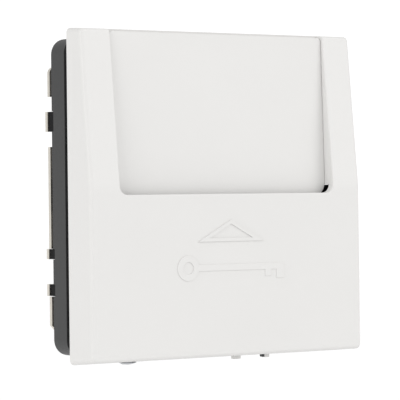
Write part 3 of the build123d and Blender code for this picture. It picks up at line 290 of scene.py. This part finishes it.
def paper_label(name, colour, border):
    """Matt printed label: fibrous face with a plain ruled frame."""
    finish = Finish(name, colour, 0.62)
    fibre = finish.noise(0.3, detail=4.0)
    x, z = (finish.along(axis, 1 / MM).abs() for axis in ("X", "Z"))
    half_w, half_h, line = border
    frame_x = ((x - half_w).abs() < line) * (z < half_h + line)
    frame_z = ((z - half_h).abs() < line) * (x < half_w + line)
    rules = ((z * (1 / RULE_PITCH) + 0.5).part() - 0.5).abs() < RULE_HALF
    ink = (frame_x + frame_z + rules * (x < half_w)).clamp()
    paper = finish.blend(fibre, shade(colour, 0.93), shade(colour, 1.02))
    finish.set("Base Color", finish.blend(ink * 0.8, paper, (0.1, 0.1, 0.1)))
    finish.set("Roughness", 0.54 + 0.14 * fibre)
    finish.bump(fibre, 0.006)
    return finish


# ---------------------------------------------------------------- shapes
def cuboid(shape, low, high, bevel=0.0):
    """A block between two corners in millimetres, with rounded edges where asked."""
    low, high = Vector(low) * MM, Vector(high) * MM
    corners = bmesh.ops.create_cube(shape, size=1.0)["verts"]
    bmesh.ops.scale(shape, vec=high - low, verts=corners)
    bmesh.ops.translate(shape, vec=(low + high) / 2, verts=corners)
    if bevel:
        soften(shape, {edge for corner in corners for edge in corner.link_edges}, bevel)


def soften(shape, edges, width, segments=2):
    bmesh.ops.bevel(shape, geom=list(edges), offset=width * MM, offset_type="OFFSET", affect="EDGES",
                    segments=segments, profile=0.5, material=-1)


def rod(shape, start, end, radius, sides=16):
    """A closed rod between two points in millimetres."""
    start, end = Vector(start) * MM, Vector(end) * MM
    turn = (end - start).to_track_quat("Z", "Y").to_matrix().to_4x4()
    bmesh.ops.create_cone(shape, cap_ends=True, segments=sides, radius1=radius * MM, radius2=radius * MM,
                          depth=(end - start).length, matrix=Matrix.Translation((start + end) / 2) @ turn)


def coil(shape, centre, axis, start, radius, wire, turns, length, steps=28, sides=10):
    """A helix of round wire about an axis: one capped circle, spun as it moves along the axis."""
    centre, axis, start = Vector(centre) * MM, Vector(axis), Vector(start)
    tangent = axis.cross(start)
    turn = tangent.to_track_quat("Z", "Y").to_matrix().to_4x4()
    seat = Matrix.Translation(centre + start * radius * MM) @ turn
    ring = bmesh.ops.create_circle(shape, cap_ends=True, segments=sides, radius=wire * MM, matrix=seat)
    rim = ring["verts"]
    geom = [*rim, *{e for v in rim for e in v.link_edges}, *{f for v in rim for f in v.link_faces}]
    count = round(turns * steps)
    bmesh.ops.spin(shape, geom=geom, cent=centre, axis=axis, dvec=axis * (length * MM / count),
                   angle=turns * math.tau, steps=count, use_merge=False, use_duplicate=False)


def plate_shape(shape, outline, y_back, y_front, bevel=0.0):
    """A flat outline in X and Z, in millimetres, raised towards the user."""
    verts = [shape.verts.new((x * MM, y_back * MM, z * MM)) for x, z in outline]
    face = shape.faces.new(verts)
    moved = bmesh.ops.extrude_face_region(shape, geom=[face])["geom"]
    top = [item for item in moved if isinstance(item, bmesh.types.BMVert)]
    bmesh.ops.translate(shape, verts=top, vec=(0, (y_front - y_back) * MM, 0))
    if bevel:
        soften(shape, {e for v in top for e in v.link_edges if e.other_vert(v) in top}, bevel)


def ring_shape(shape, centre, inner, outer, y_back, y_front, bevel=0.0, steps=48):
    """A flat ring round a point, in millimetres, raised towards the user."""
    x, z = centre
    spots = [((x + r) * MM, y * MM, z * MM) for r, y in
             ((inner, y_back), (outer, y_back), (outer, y_front), (inner, y_front))]
    verts = [shape.verts.new(spot) for spot in spots]
    edges = [shape.edges.new((a, b)) for a, b in zip(verts, verts[1:] + verts[:1])]
    before = set(shape.verts) - set(verts)
    bmesh.ops.spin(shape, geom=verts + edges, cent=(x * MM, 0, z * MM), axis=(0, 1, 0),
                   angle=math.tau, steps=steps, use_merge=True, use_duplicate=False)
    if bevel:
        front = {v for v in shape.verts if v not in before and abs(v.co.y - y_front * MM) < 1e-8}
        around = {e for v in front for e in v.link_edges if e.other_vert(v) in front
                  and e.calc_length() < 0.7 * (outer - inner) * MM}     # leaves out the edges across
        soften(shape, around, bevel)


def put(name, shape, material, body=HOUSING):
    """Closes a shape into a piece of one material that rides on a body."""
    bmesh.ops.remove_doubles(shape, verts=shape.verts, dist=WELD)
    bmesh.ops.recalc_face_normals(shape, faces=shape.faces)
    piece = link_mesh(name, shape)
    piece.data.materials.append(material)
    if body:
        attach(piece, body)
    return piece


def box_mm(node):
    """A node's lowest and highest corners in millimetres."""
    low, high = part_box(node)
    return Vector(low) / MM, Vector(high) / MM


# ---------------------------------------------------------------- settings
class CoverSettings(bpy.types.PropertyGroup):
    colour: FloatVectorProperty(name="Cover colour", description="Colour of the cover and rest plate",
                                default=(0.672, 0.665, 0.652), subtype="COLOR", min=0, max=1)
    roughness: FloatProperty(name="Roughness", description="Roughness of the moulded face",
                             default=0.44, min=0, max=1)
    grain: FloatProperty(name="Grain size", description="Width of the surface grain in millimetres",
                         default=0.28, min=0.05)


class BaseSettings(bpy.types.PropertyGroup):
    colour: FloatVectorProperty(name="Base colour", description="Colour of the base and housing",
                                default=(0.032, 0.0325, 0.0327), subtype="COLOR", min=0, max=1)
    clip_colour: FloatVectorProperty(name="Clip colour", description="Colour of the guide and clips",
                                     default=(0.016, 0.016, 0.017), subtype="COLOR", min=0, max=1)


class PlateSettings(bpy.types.PropertyGroup):
    colour: FloatVectorProperty(name="Plate colour", description="Colour of the zinc-plated sheet",
                                default=(0.74, 0.70, 0.63), subtype="COLOR", min=0, max=1)
    roughness: FloatProperty(name="Roughness", description="Roughness of the rolled sheet",
                             default=0.36, min=0, max=1)


class KeyMarkSettings(bpy.types.PropertyGroup):
    length: FloatProperty(name="Length", description="Length of the raised key mark",
                          default=28.0 * MM, min=0.005, unit="LENGTH")
    height: FloatProperty(name="Height", description="Height of its middle above the cover's middle",
                          default=-16.1 * MM, unit="LENGTH")
    edge: FloatProperty(name="Edge", description="Rounding of its front edges in millimetres",
                        default=0.07, min=0)


class SpringSettings(bpy.types.PropertyGroup):
    turns: IntProperty(name="Turns", description="Turns of the lever's torsion spring", default=4, min=1)
    wire: FloatProperty(name="Wire radius", description="Radius of the spring wire in millimetres",
                        default=0.18, min=0.05)


class StageSettings(bpy.types.PropertyGroup):
    sky: FloatProperty(name="Sky light", description="Strength of the all-round light",
                       default=0.74, min=0)
    side: FloatProperty(name="Side light", description="Strength of the broad light from the left",
                        default=1.09, min=0)
    front: FloatProperty(name="Front light", description="Strength of the broad light from the right front",
                         default=1.04, min=0)
    spread: FloatProperty(name="Spread", description="Apparent width of the two lights",
                          default=math.radians(45), min=0, subtype="ANGLE")
    floor_drop: FloatProperty(name="Floor drop", description="Floor below the lowest point",
                              default=0.05, min=0, unit="LENGTH")


# ---------------------------------------------------------------- operators
class CARDREADER_OT_finish_cover(bpy.types.Operator):
    """Finish the white cover and the card rest plate"""
    bl_idname = "cardreader.finish_cover"
    bl_label = "Cover finish"

    def execute(self, context):
        white = cover_plastic(context.scene.card_reader_cover)
        dress(("front_cover", "card_rest_plate"), white)
        return {"FINISHED"}


class CARDREADER_OT_finish_base(bpy.types.Operator):
    """Finish the grey base, the insert housing, the black guide and the clips"""
    bl_idname = "cardreader.finish_base"
    bl_label = "Base finish"

    def execute(self, context):
        settings = context.scene.card_reader_base
        grey, black = tuple(settings.colour), tuple(settings.clip_colour)
        dress(("rear_base",), moulded_plastic("base_grey", grey, 0.46, 0.22, 0.02, 0.06, 0.4))
        dress(("rear_housing",), moulded_plastic("housing_grey", grey, 0.5, 0.3, 0.02, 0.06, 0.4))
        dress(("card_guide",), moulded_plastic("guide_black", black, 0.42, 0.2, 0.01, 0.08, 0.2))
        clip = moulded_plastic("clip_black", shade(black, 0.5), 0.42, 0.2, 0.008, 0.08, 0.06)
        dress(("plate_clips",), clip)
        dress(("terminal_block",), moulded_plastic("terminal_grey", (0.24, 0.25, 0.26), 0.36, 0.25, 0.012))
        return {"FINISHED"}


class CARDREADER_OT_finish_metal(bpy.types.Operator):
    """Finish the steel support plate, the screws, the pins and the metal cans"""
    bl_idname = "cardreader.finish_metal"
    bl_label = "Metal finish"

    def execute(self, context):
        settings = context.scene.card_reader_plate
        dress(("support_plate",), rolled_steel("plate_zinc", tuple(settings.colour), settings.roughness))
        dress(("cover_locking_screw",), bright_metal("screw_nickel", (0.42, 0.43, 0.45), 0.14))
        zinc = bright_metal("screw_zinc", (0.60, 0.60, 0.58), 0.3)
        dress(("guide_screws", "board_screws", "insert_screws", "terminal_screws", "lever_pin"), zinc)
        dress(("clock_crystal",), bright_metal("crystal_steel", (0.66, 0.66, 0.65), 0.24))
        gold = bright_metal("pin_gold", (0.80, 0.60, 0.27), 0.26)
        dress(("aerial_pins", "link_pins", "microswitch_pins"), gold)
        dress(("terminal_clamps",), bright_metal("clamp_brass", (0.74, 0.62, 0.38), 0.3))
        dress(("aerial_coil",), turned_copper("coil_copper", (0.72, 0.36, 0.18)))
        return {"FINISHED"}


class CARDREADER_OT_finish_electronics(bpy.types.Operator):
    """Finish the boards, the plugs, the switch, the lever and the parts on the boards"""
    bl_idname = "cardreader.finish_electronics"
    bl_label = "Electronics finish"

    def execute(self, context):
        board = circuit_board("board_green", (0.012, 0.10, 0.035), 1.1)
        dress(("aerial_board", "reader_board", "power_board"), board)
        plug = glossy_moulding("plug_black", (0.018, 0.018, 0.019), 0.34)
        dress(("aerial_socket", "aerial_header", "link_socket", "link_header"), plug)
        dress(("microswitch_body",), glossy_moulding("switch_black", (0.022, 0.022, 0.025), 0.4))
        dress(("microswitch_button",), glossy_moulding("button_red", (0.42, 0.03, 0.02), 0.3))
        dress(("card_lever",), moulded_plastic("lever_acetal", (0.72, 0.71, 0.66), 0.36, 0.4, 0.006))
        dress(("reader_chips",), moulded_plastic("chip_epoxy", (0.018, 0.018, 0.02), 0.5, 0.12, 0.01, 0.1))
        dress(("supply_choke",), moulded_plastic("ferrite", (0.035, 0.034, 0.033), 0.6, 0.3, 0.03, 0.1))
        ceramic = moulded_plastic("chip_ceramic", (0.36, 0.26, 0.17), 0.45, 0.3, 0.01, 0.1)
        dress(("board_passives",), ceramic)
        dress(("relay",), glossy_moulding("relay_blue", (0.02, 0.09, 0.30), 0.3))
        dress(("supply_capacitor",), glossy_moulding("can_sleeve", (0.02, 0.022, 0.04), 0.26))
        dress(("film_capacitor",), glossy_moulding("film_yellow", (0.66, 0.46, 0.05), 0.3))
        dress(("varistor",), glossy_moulding("varistor_blue", (0.03, 0.12, 0.36), 0.24))
        low, _high = box_mm("fuse_resistor")
        coat = banded_resistor("resistor_coat", (0.50, 0.40, 0.26), RESISTOR_BANDS, low.x)
        dress(("fuse_resistor",), coat)
        return {"FINISHED"}


class CARDREADER_OT_key_mark(bpy.types.Operator):
    """Raise a plain key mark on the cover, under the arrow"""
    bl_idname = "cardreader.key_mark"
    bl_label = "Key mark"

    def execute(self, context):
        settings = context.scene.card_reader_key_mark
        add_key_mark(settings, NODES["front_cover"].data.materials[0])
        return {"FINISHED"}


class CARDREADER_OT_lever_spring(bpy.types.Operator):
    """Wind the lever's torsion spring from round wire"""
    bl_idname = "cardreader.lever_spring"
    bl_label = "Lever spring"

    def execute(self, context):
        add_lever_spring(context.scene.card_reader_spring)
        return {"FINISHED"}


class CARDREADER_OT_windings(bpy.types.Operator):
    """Wind the choke with lacquered wire"""
    bl_idname = "cardreader.windings"
    bl_label = "Choke winding"

    def execute(self, context):
        add_choke_winding()
        return {"FINISHED"}


class CARDREADER_OT_board_joints(bpy.types.Operator):
    """Add the chips' legs and the solder joints behind the reader board"""
    bl_idname = "cardreader.board_joints"
    bl_label = "Legs and solder"

    def execute(self, context):
        tin = bright_metal("solder_tin", (0.66, 0.66, 0.64), 0.28)
        add_chip_legs(tin)
        add_solder(tin)
        return {"FINISHED"}


class CARDREADER_OT_power_details(bpy.types.Operator):
    """Add the capacitor's vented end and the relay's lid seam"""
    bl_idname = "cardreader.power_details"
    bl_label = "Power details"

    def execute(self, context):
        add_capacitor_end()
        add_relay_seam()
        return {"FINISHED"}


class CARDREADER_OT_rear_marks(bpy.types.Operator):
    """Add the blank label and the mould marks on the insert housing's back"""
    bl_idname = "cardreader.rear_marks"
    bl_label = "Rear marks"

    def execute(self, context):
        add_label()
        add_mould_marks()
        return {"FINISHED"}


class CARDREADER_OT_stage(bpy.types.Operator):
    """Build the floor, the lights and the camera"""
    bl_idname = "cardreader.stage"
    bl_label = "Stage"

    def execute(self, context):
        settings = context.scene.card_reader_stage
        scene = context.scene
        scene.view_settings.view_transform = "Standard"
        add_floor(CAD_BOX[0].z - settings.floor_drop)
        add_sky(scene, settings.sky)
        add_broad_light("side_light", SIDE_LIGHT_FROM, settings.side, settings.spread)
        add_broad_light("front_light", FRONT_LIGHT_FROM, settings.front, settings.spread)
        add_camera(scene)
        return {"FINISHED"}


# ---------------------------------------------------------------- pieces
def cover_plastic(settings):
    return moulded_plastic("cover_white", tuple(settings.colour), settings.roughness, settings.grain,
                           0.012, 0.012)


KEY_BOW_R = 2.75          # the ring that the fingers hold, in millimetres
KEY_BOW_HOLE_R = 1.35
KEY_SHAFT_HALF = 0.7
KEY_SHAFT_LOW = 0.03      # the shaft's face behind the ring's
KEY_TEETH = ((-5.0, -3.4, 2.2), (-2.0, 0.0, 2.7))   # start and end from the tip, and depth
KEY_COLLAR_LAP = 0.3      # how far the shaft runs into the ring
MARK_SET_BACK = 0.002     # the mark's face behind the cover's foremost point
MARK_SUNK = 0.4


def add_key_mark(settings, material):
    low, _high = box_mm("front_cover")
    front, back = low.y + MARK_SET_BACK, low.y + MARK_SUNK
    length, z = settings.length / MM, settings.height / MM
    tip, bow = length / 2, -length / 2 + KEY_BOW_R
    mark = bmesh.new()
    ring_shape(mark, (bow, z), KEY_BOW_HOLE_R, KEY_BOW_R, back, front, settings.edge)
    collar = bow + KEY_BOW_R - KEY_COLLAR_LAP
    half = KEY_SHAFT_HALF
    under = [(collar, z - half)]     # the shaft's lower edge, with its teeth
    for start, end, depth in KEY_TEETH:
        under += [(tip + start, z - half), (tip + start, z - depth), (tip + end, z - depth),
                  (tip + end, z - half)]
    outline = list(dict.fromkeys(under)) + [(tip, z + half), (collar, z + half)]
    plate_shape(mark, outline, back, front + KEY_SHAFT_LOW, settings.edge)
    put("key_mark", mark, material)


LEG_EXTRA = 0.02          # the solid spring's legs are this much thicker than its wire, each side
ELBOW_SWELL = 1.04        # a ball over the wire's radius, where a leg leaves the coil


def add_lever_spring(settings):
    low, high = box_mm("lever_spring")
    pin_low, pin_high = box_mm("lever_pin")
    wire, turns = settings.wire, settings.turns
    pivot = (pin_low + pin_high) / 2
    back = high.y - wire - LEG_EXTRA
    x0, x1 = low.x + wire + LEG_EXTRA, high.x - wire - LEG_EXTRA
    radius = back - pivot.y
    spring = bmesh.new()
    coil(spring, (x0, pivot.y, pivot.z), (1, 0, 0), (0, 1, 0), radius, wire, turns, x1 - x0)
    for x, end in ((x0, low.z), (x1, high.z)):
        rod(spring, (x, back, pivot.z), (x, back, end), wire, sides=10)
        bmesh.ops.create_icosphere(spring, subdivisions=2, radius=wire * ELBOW_SWELL * MM,
                                   matrix=Matrix.Translation(Vector((x, back, pivot.z)) * MM))
    steel = bright_metal("spring_steel", (0.42, 0.42, 0.43), 0.3)
    piece = put("wound_spring", spring, steel.material, body=None)
    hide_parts("lever_spring")
    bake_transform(piece)


CHOKE_WIRE = 0.24         # radius, in millimetres
CHOKE_FLANGE = 1.2        # thickness of an end cheek
CHOKE_CORE_STEP = 0.6     # core inside the cheeks' radius
CHOKE_PITCH = 2.1         # turn to turn, in wire radii


def add_choke_winding():
    low, high = box_mm("supply_choke")
    centre = (low + high) / 2
    flange_r = (high.x - low.x) / 2
    radius = flange_r - CHOKE_CORE_STEP + CHOKE_WIRE
    start, end = low.y + CHOKE_FLANGE + CHOKE_WIRE, high.y - CHOKE_FLANGE - CHOKE_WIRE
    turns = int((end - start) / (CHOKE_PITCH * CHOKE_WIRE))
    winding = bmesh.new()
    coil(winding, (centre.x, start, centre.z), (0, 1, 0), (1, 0, 0), radius, CHOKE_WIRE, turns,
         end - start, steps=24, sides=8)
    copper = turned_copper("winding_copper", (0.62, 0.27, 0.12))
    put("choke_winding", winding, copper.material)


CHIP_PLACES = ((-13.5, -4.0, 5.0, 5), (-13.0, 9.0, 7.0, 8))   # centre, side and legs along each side
LEG_SPAN = 0.86           # share of a chip's side that its legs take
LEG_HALF = 0.14           # half of a leg's width
LEG_REACH = 0.9
LEG_ROOT = 0.05           # into the chip
LEG_SHOULDER = 0.45       # length of a leg's upper step
LEG_FOOT_UP = (0.2, 0.02)     # heights above the board of a foot's two faces
LEG_SHOULDER_UP = (0.6, 0.15)


def add_chip_legs(tin):
    board_low, _high = box_mm("reader_board")
    y = board_low.y
    legs = bmesh.new()
    for x, z, side, count in CHIP_PLACES:
        pitch = side * LEG_SPAN / count
        for i in range(count):
            along = (i - (count - 1) / 2) * pitch
            for sign in (-1, 1):
                edge, foot = sign * (side / 2 - LEG_ROOT), sign * (side / 2 + LEG_REACH)
                shoulder = edge + sign * LEG_SHOULDER
                for end, (far, near) in ((foot, LEG_FOOT_UP), (shoulder, LEG_SHOULDER_UP)):
                    a, b = sorted((edge, end))
                    left, right = along - LEG_HALF, along + LEG_HALF
                    cuboid(legs, (x + a, y - far, z + left), (x + b, y - near, z + right))
                    cuboid(legs, (x + left, y - far, z + a), (x + right, y - near, z + b))
    put("chip_legs", legs, tin.material)


SOLDER_DOME = Vector((0.85, 0.42, 0.85)) * MM
SOLDER_LIFT = 0.02        # a dome's middle behind the board's rear face


def add_solder(tin):
    """Domes of solder where the pins come through the reader board."""
    _low, board_high = box_mm("reader_board")
    drops = bmesh.new()
    for node, count in (("microswitch_pins", 3), ("aerial_pins", 4)):
        low, high = box_mm(node)
        half = (high.z - low.z) / 2
        first, last = low.x + half, high.x - half
        for i in range(count):
            x = first + (last - first) * i / (count - 1)
            seat = Matrix.Translation(Vector((x, board_high.y + SOLDER_LIFT, (low.z + high.z) / 2)) * MM)
            dome = bmesh.ops.create_uvsphere(drops, u_segments=16, v_segments=8, radius=1.0)["verts"]
            bmesh.ops.scale(drops, vec=SOLDER_DOME, verts=dome)
            bmesh.ops.transform(drops, matrix=seat, verts=dome)
            for vert in dome:
                vert.co.y = max(vert.co.y, board_high.y * MM)
    put("solder_joints", drops, tin.material)


CAN_RIM = 0.9             # sleeve's rolled edge round the bare end
CAN_END = (0.3, 0.02)     # depths of the bare end's two faces below the top
CAN_RIB = (1.7, 0.06, 0.16)   # a rib's length over the end's radius, its height and its width
CAN_RIB_DEEP = 0.03       # its middle below the top
CAN_RIBS = 3


def add_capacitor_end():
    """Bare aluminium end with a pressed star, inside the sleeve's rolled edge."""
    low, high = box_mm("supply_capacitor")
    centre, radius = (low + high) / 2, (high.x - low.x) / 2 - CAN_RIM
    end = bmesh.new()
    foot, face = (high.y - depth for depth in CAN_END)
    rod(end, (centre.x, foot, centre.z), (centre.x, face, centre.z), radius, sides=48)
    length, height, width = CAN_RIB
    for turn in range(CAN_RIBS):
        bar = bmesh.ops.create_cube(end, size=1.0)["verts"]
        bmesh.ops.scale(end, vec=Vector((radius * length, height, width)) * MM, verts=bar)
        spin = Matrix.Rotation(math.pi * turn / CAN_RIBS, 4, "Y")
        seat = Matrix.Translation(Vector((centre.x, high.y - CAN_RIB_DEEP, centre.z)) * MM)
        bmesh.ops.transform(end, matrix=seat @ spin, verts=bar)
    aluminium = bright_metal("can_aluminium", (0.62, 0.62, 0.62), 0.34)
    put("capacitor_end", end, aluminium.material)


LID_LIP = 0.12            # lip proud of the case
LID_SPAN = (0.9, 1.7)     # from the board, in millimetres
VENT_IN = 2.4             # the vent pip from the case's two sides
VENT_R = 0.7
VENT_SPAN = (-0.1, 0.25)  # from the case's top


def add_relay_seam():
    """The lid's lip and the vent pip on the relay's case."""
    low, high = box_mm("relay")
    seam = bmesh.new()
    near, far = (low.y + height for height in LID_SPAN)
    cuboid(seam, (low.x - LID_LIP, near, low.z - LID_LIP), (high.x + LID_LIP, far, high.z + LID_LIP), 0.1)
    x, z = low.x + VENT_IN, high.z - VENT_IN
    foot, top = (high.y + height for height in VENT_SPAN)
    rod(seam, (x, foot, z), (x, top, z), VENT_R)
    blue = glossy_moulding("relay_lip_blue", (0.018, 0.08, 0.27), 0.32)
    put("relay_lip", seam, blue.material)


LABEL_SIZE = (27.0, 16.0)
LABEL_RISE = 4.5          # its middle above the housing's
LABEL_SPAN = (-0.05, 0.08)    # its two faces from the housing's back
LABEL_CORNER = 1.0
LABEL_MARGIN = 1.0
LABEL_LINE = 0.08


def add_label():
    """Blank rating label on the back of the insert housing."""
    low, high = box_mm("rear_housing")
    w, h = LABEL_SIZE
    x, z = (low.x + high.x) / 2, (low.z + high.z) / 2 + LABEL_RISE
    sheet = bmesh.new()
    back, front = (high.y + height for height in LABEL_SPAN)
    cuboid(sheet, (x - w / 2, back, z - h / 2), (x + w / 2, front, z + h / 2))
    corners = {e for e in sheet.edges if abs((e.verts[0].co - e.verts[1].co).y) > WELD}
    soften(sheet, corners, LABEL_CORNER, segments=4)
    border = (w / 2 - LABEL_MARGIN, h / 2 - LABEL_MARGIN + LABEL_RISE, LABEL_LINE)
    paper = paper_label("label_silver", (0.62, 0.62, 0.60), border)
    put("blank_label", sheet, paper.material)


EJECTOR_PLACES = ((-14.5, -8.5), (-14.5, 18.0), (14.5, -8.5), (14.5, 18.0))
EJECTOR_RING = (1.25, 1.45)   # inner and outer radius
EJECTOR_HALF = 0.05           # half of its height


def add_mould_marks():
    """Ejector rings on the housing's back."""
    _low, high = box_mm("rear_housing")
    marks = bmesh.new()
    for place in EJECTOR_PLACES:
        ring_shape(marks, place, *EJECTOR_RING, high.y - EJECTOR_HALF, high.y + EJECTOR_HALF, steps=32)
    colour = tuple(bpy.context.scene.card_reader_base.colour)
    grey = moulded_plastic("mark_grey", colour, 0.5, 0.3, 0.02, 0.06)
    put("mould_marks", marks, grey.material)


# ---------------------------------------------------------------- stage pieces
CAMERA_PLACE = Vector((-275.7, -429.6, 0.4)) * MM
CAMERA_YAW = 33.23        # degrees, as pitch and roll are
CAMERA_PITCH = -0.20
CAMERA_ROLL = -0.62
CAMERA_LENS = 202.6       # millimetres


def add_camera(scene):
    yaw, pitch, roll = (math.radians(a) for a in (CAMERA_YAW, CAMERA_PITCH, CAMERA_ROLL))
    ahead = Vector((math.sin(yaw) * math.cos(pitch), math.cos(yaw) * math.cos(pitch), math.sin(pitch)))
    level = Vector((math.cos(yaw), -math.sin(yaw), 0.0))
    upright = level.cross(ahead)
    right = math.cos(roll) * level + math.sin(roll) * upright
    up = math.cos(roll) * upright - math.sin(roll) * level
    camera = bpy.data.objects.new("camera", bpy.data.cameras.new("camera"))
    camera.data.lens = CAMERA_LENS
    camera.data.clip_start = 0.01
    turn = Matrix((right, up, -ahead)).transposed().to_4x4()
    camera.matrix_world = Matrix.Translation(CAMERA_PLACE) @ turn
    scene.collection.objects.link(camera)
    scene.camera = camera


SIDE_LIGHT_FROM = Vector((-0.90, -0.26, 0.40))
FRONT_LIGHT_FROM = Vector((0.60, -0.65, 0.46))
LIGHT_SHINE = 0.4         # how strongly the two lights show in glossy faces
SEEN_WHITE = 1.1          # the studio's brightness where it is seen directly
FLOOR_GLOW = 0.06         # keeps the floor plain white to its edge
FLOOR_R = 4.0             # metres


def add_floor(height):
    sheet = bmesh.new()
    bmesh.ops.create_circle(sheet, cap_ends=True, segments=96, radius=FLOOR_R)
    bmesh.ops.translate(sheet, verts=sheet.verts, vec=(0, 0, height))
    floor = link_mesh("floor", sheet)
    finish = Finish("floor_white", (0.96, 0.96, 0.96), 0.8, Emission_Color=(1.0, 1.0, 1.0, 1.0),
                    Emission_Strength=FLOOR_GLOW)
    finish.bump(finish.noise(40.0), 0.2)
    floor.data.materials.append(finish.material)


def add_sky(scene, strength):
    """White studio: plain white where it is seen, dimmer where it lights."""
    world = bpy.data.worlds.new("studio_white")
    world.use_nodes = True
    nodes, links = world.node_tree.nodes, world.node_tree.links
    background, seen = nodes["Background"], nodes.new("ShaderNodeBackground")
    for node, level in ((background, strength), (seen, SEEN_WHITE)):
        node.inputs["Color"].default_value = (1.0, 1.0, 1.0, 1.0)
        node.inputs["Strength"].default_value = level
    pick = nodes.new("ShaderNodeMixShader")
    links.new(nodes.new("ShaderNodeLightPath").outputs["Is Camera Ray"], pick.inputs["Fac"])
    links.new(background.outputs[0], pick.inputs[1])
    links.new(seen.outputs[0], pick.inputs[2])
    links.new(pick.outputs[0], nodes["World Output"].inputs["Surface"])
    scene.world = world


def add_broad_light(name, towards, strength, spread):
    """A sun wide enough to give soft shadows, shining from the way that towards points."""
    lamp = bpy.data.lights.new(name, "SUN")
    lamp.energy = strength
    lamp.angle = spread
    lamp.specular_factor = LIGHT_SHINE
    light = bpy.data.objects.new(name, lamp)
    light.rotation_euler = towards.to_track_quat("Z", "Y").to_euler()
    bpy.context.scene.collection.objects.link(light)


def link_mesh(name, shape):
    mesh = bpy.data.meshes.new(name)
    shape.to_mesh(mesh)
    shape.free()
    piece = bpy.data.objects.new(name, mesh)
    bpy.context.scene.collection.objects.link(piece)
    return piece


# ---------------------------------------------------------------- panel and registration
class CARDREADER_PT_panel(bpy.types.Panel):
    """Lists the pieces of the card reader"""
    bl_idname = "CARDREADER_PT_panel"
    bl_label = "Card reader"
    bl_space_type = "VIEW_3D"
    bl_region_type = "UI"
    bl_category = "Card reader"

    def draw(self, context):
        for maker in MAKERS:
            self.layout.operator(maker.bl_idname)


GROUPS = {"card_reader_cover": CoverSettings, "card_reader_base": BaseSettings,
          "card_reader_plate": PlateSettings, "card_reader_key_mark": KeyMarkSettings,
          "card_reader_spring": SpringSettings, "card_reader_stage": StageSettings}
MAKERS = (CARDREADER_OT_finish_cover, CARDREADER_OT_finish_base, CARDREADER_OT_finish_metal,
          CARDREADER_OT_finish_electronics, CARDREADER_OT_key_mark, CARDREADER_OT_lever_spring,
          CARDREADER_OT_windings, CARDREADER_OT_board_joints, CARDREADER_OT_power_details,
          CARDREADER_OT_rear_marks, CARDREADER_OT_stage)


def register():
    for group in GROUPS.values():
        bpy.utils.register_class(group)
    for maker in (*MAKERS, CARDREADER_PT_panel):
        bpy.utils.register_class(maker)
    for name, group in GROUPS.items():
        setattr(bpy.types.Scene, name, PointerProperty(type=group))


def unregister():
    for name in GROUPS:
        delattr(bpy.types.Scene, name)
    for maker in (CARDREADER_PT_panel, *MAKERS, *GROUPS.values()):
        bpy.utils.unregister_class(maker)


def main():
    register()
    for maker in MAKERS:
        family, action = maker.bl_idname.split(".")
        getattr(getattr(bpy.ops, family), action)()


if __name__ == "__main__":
    main()
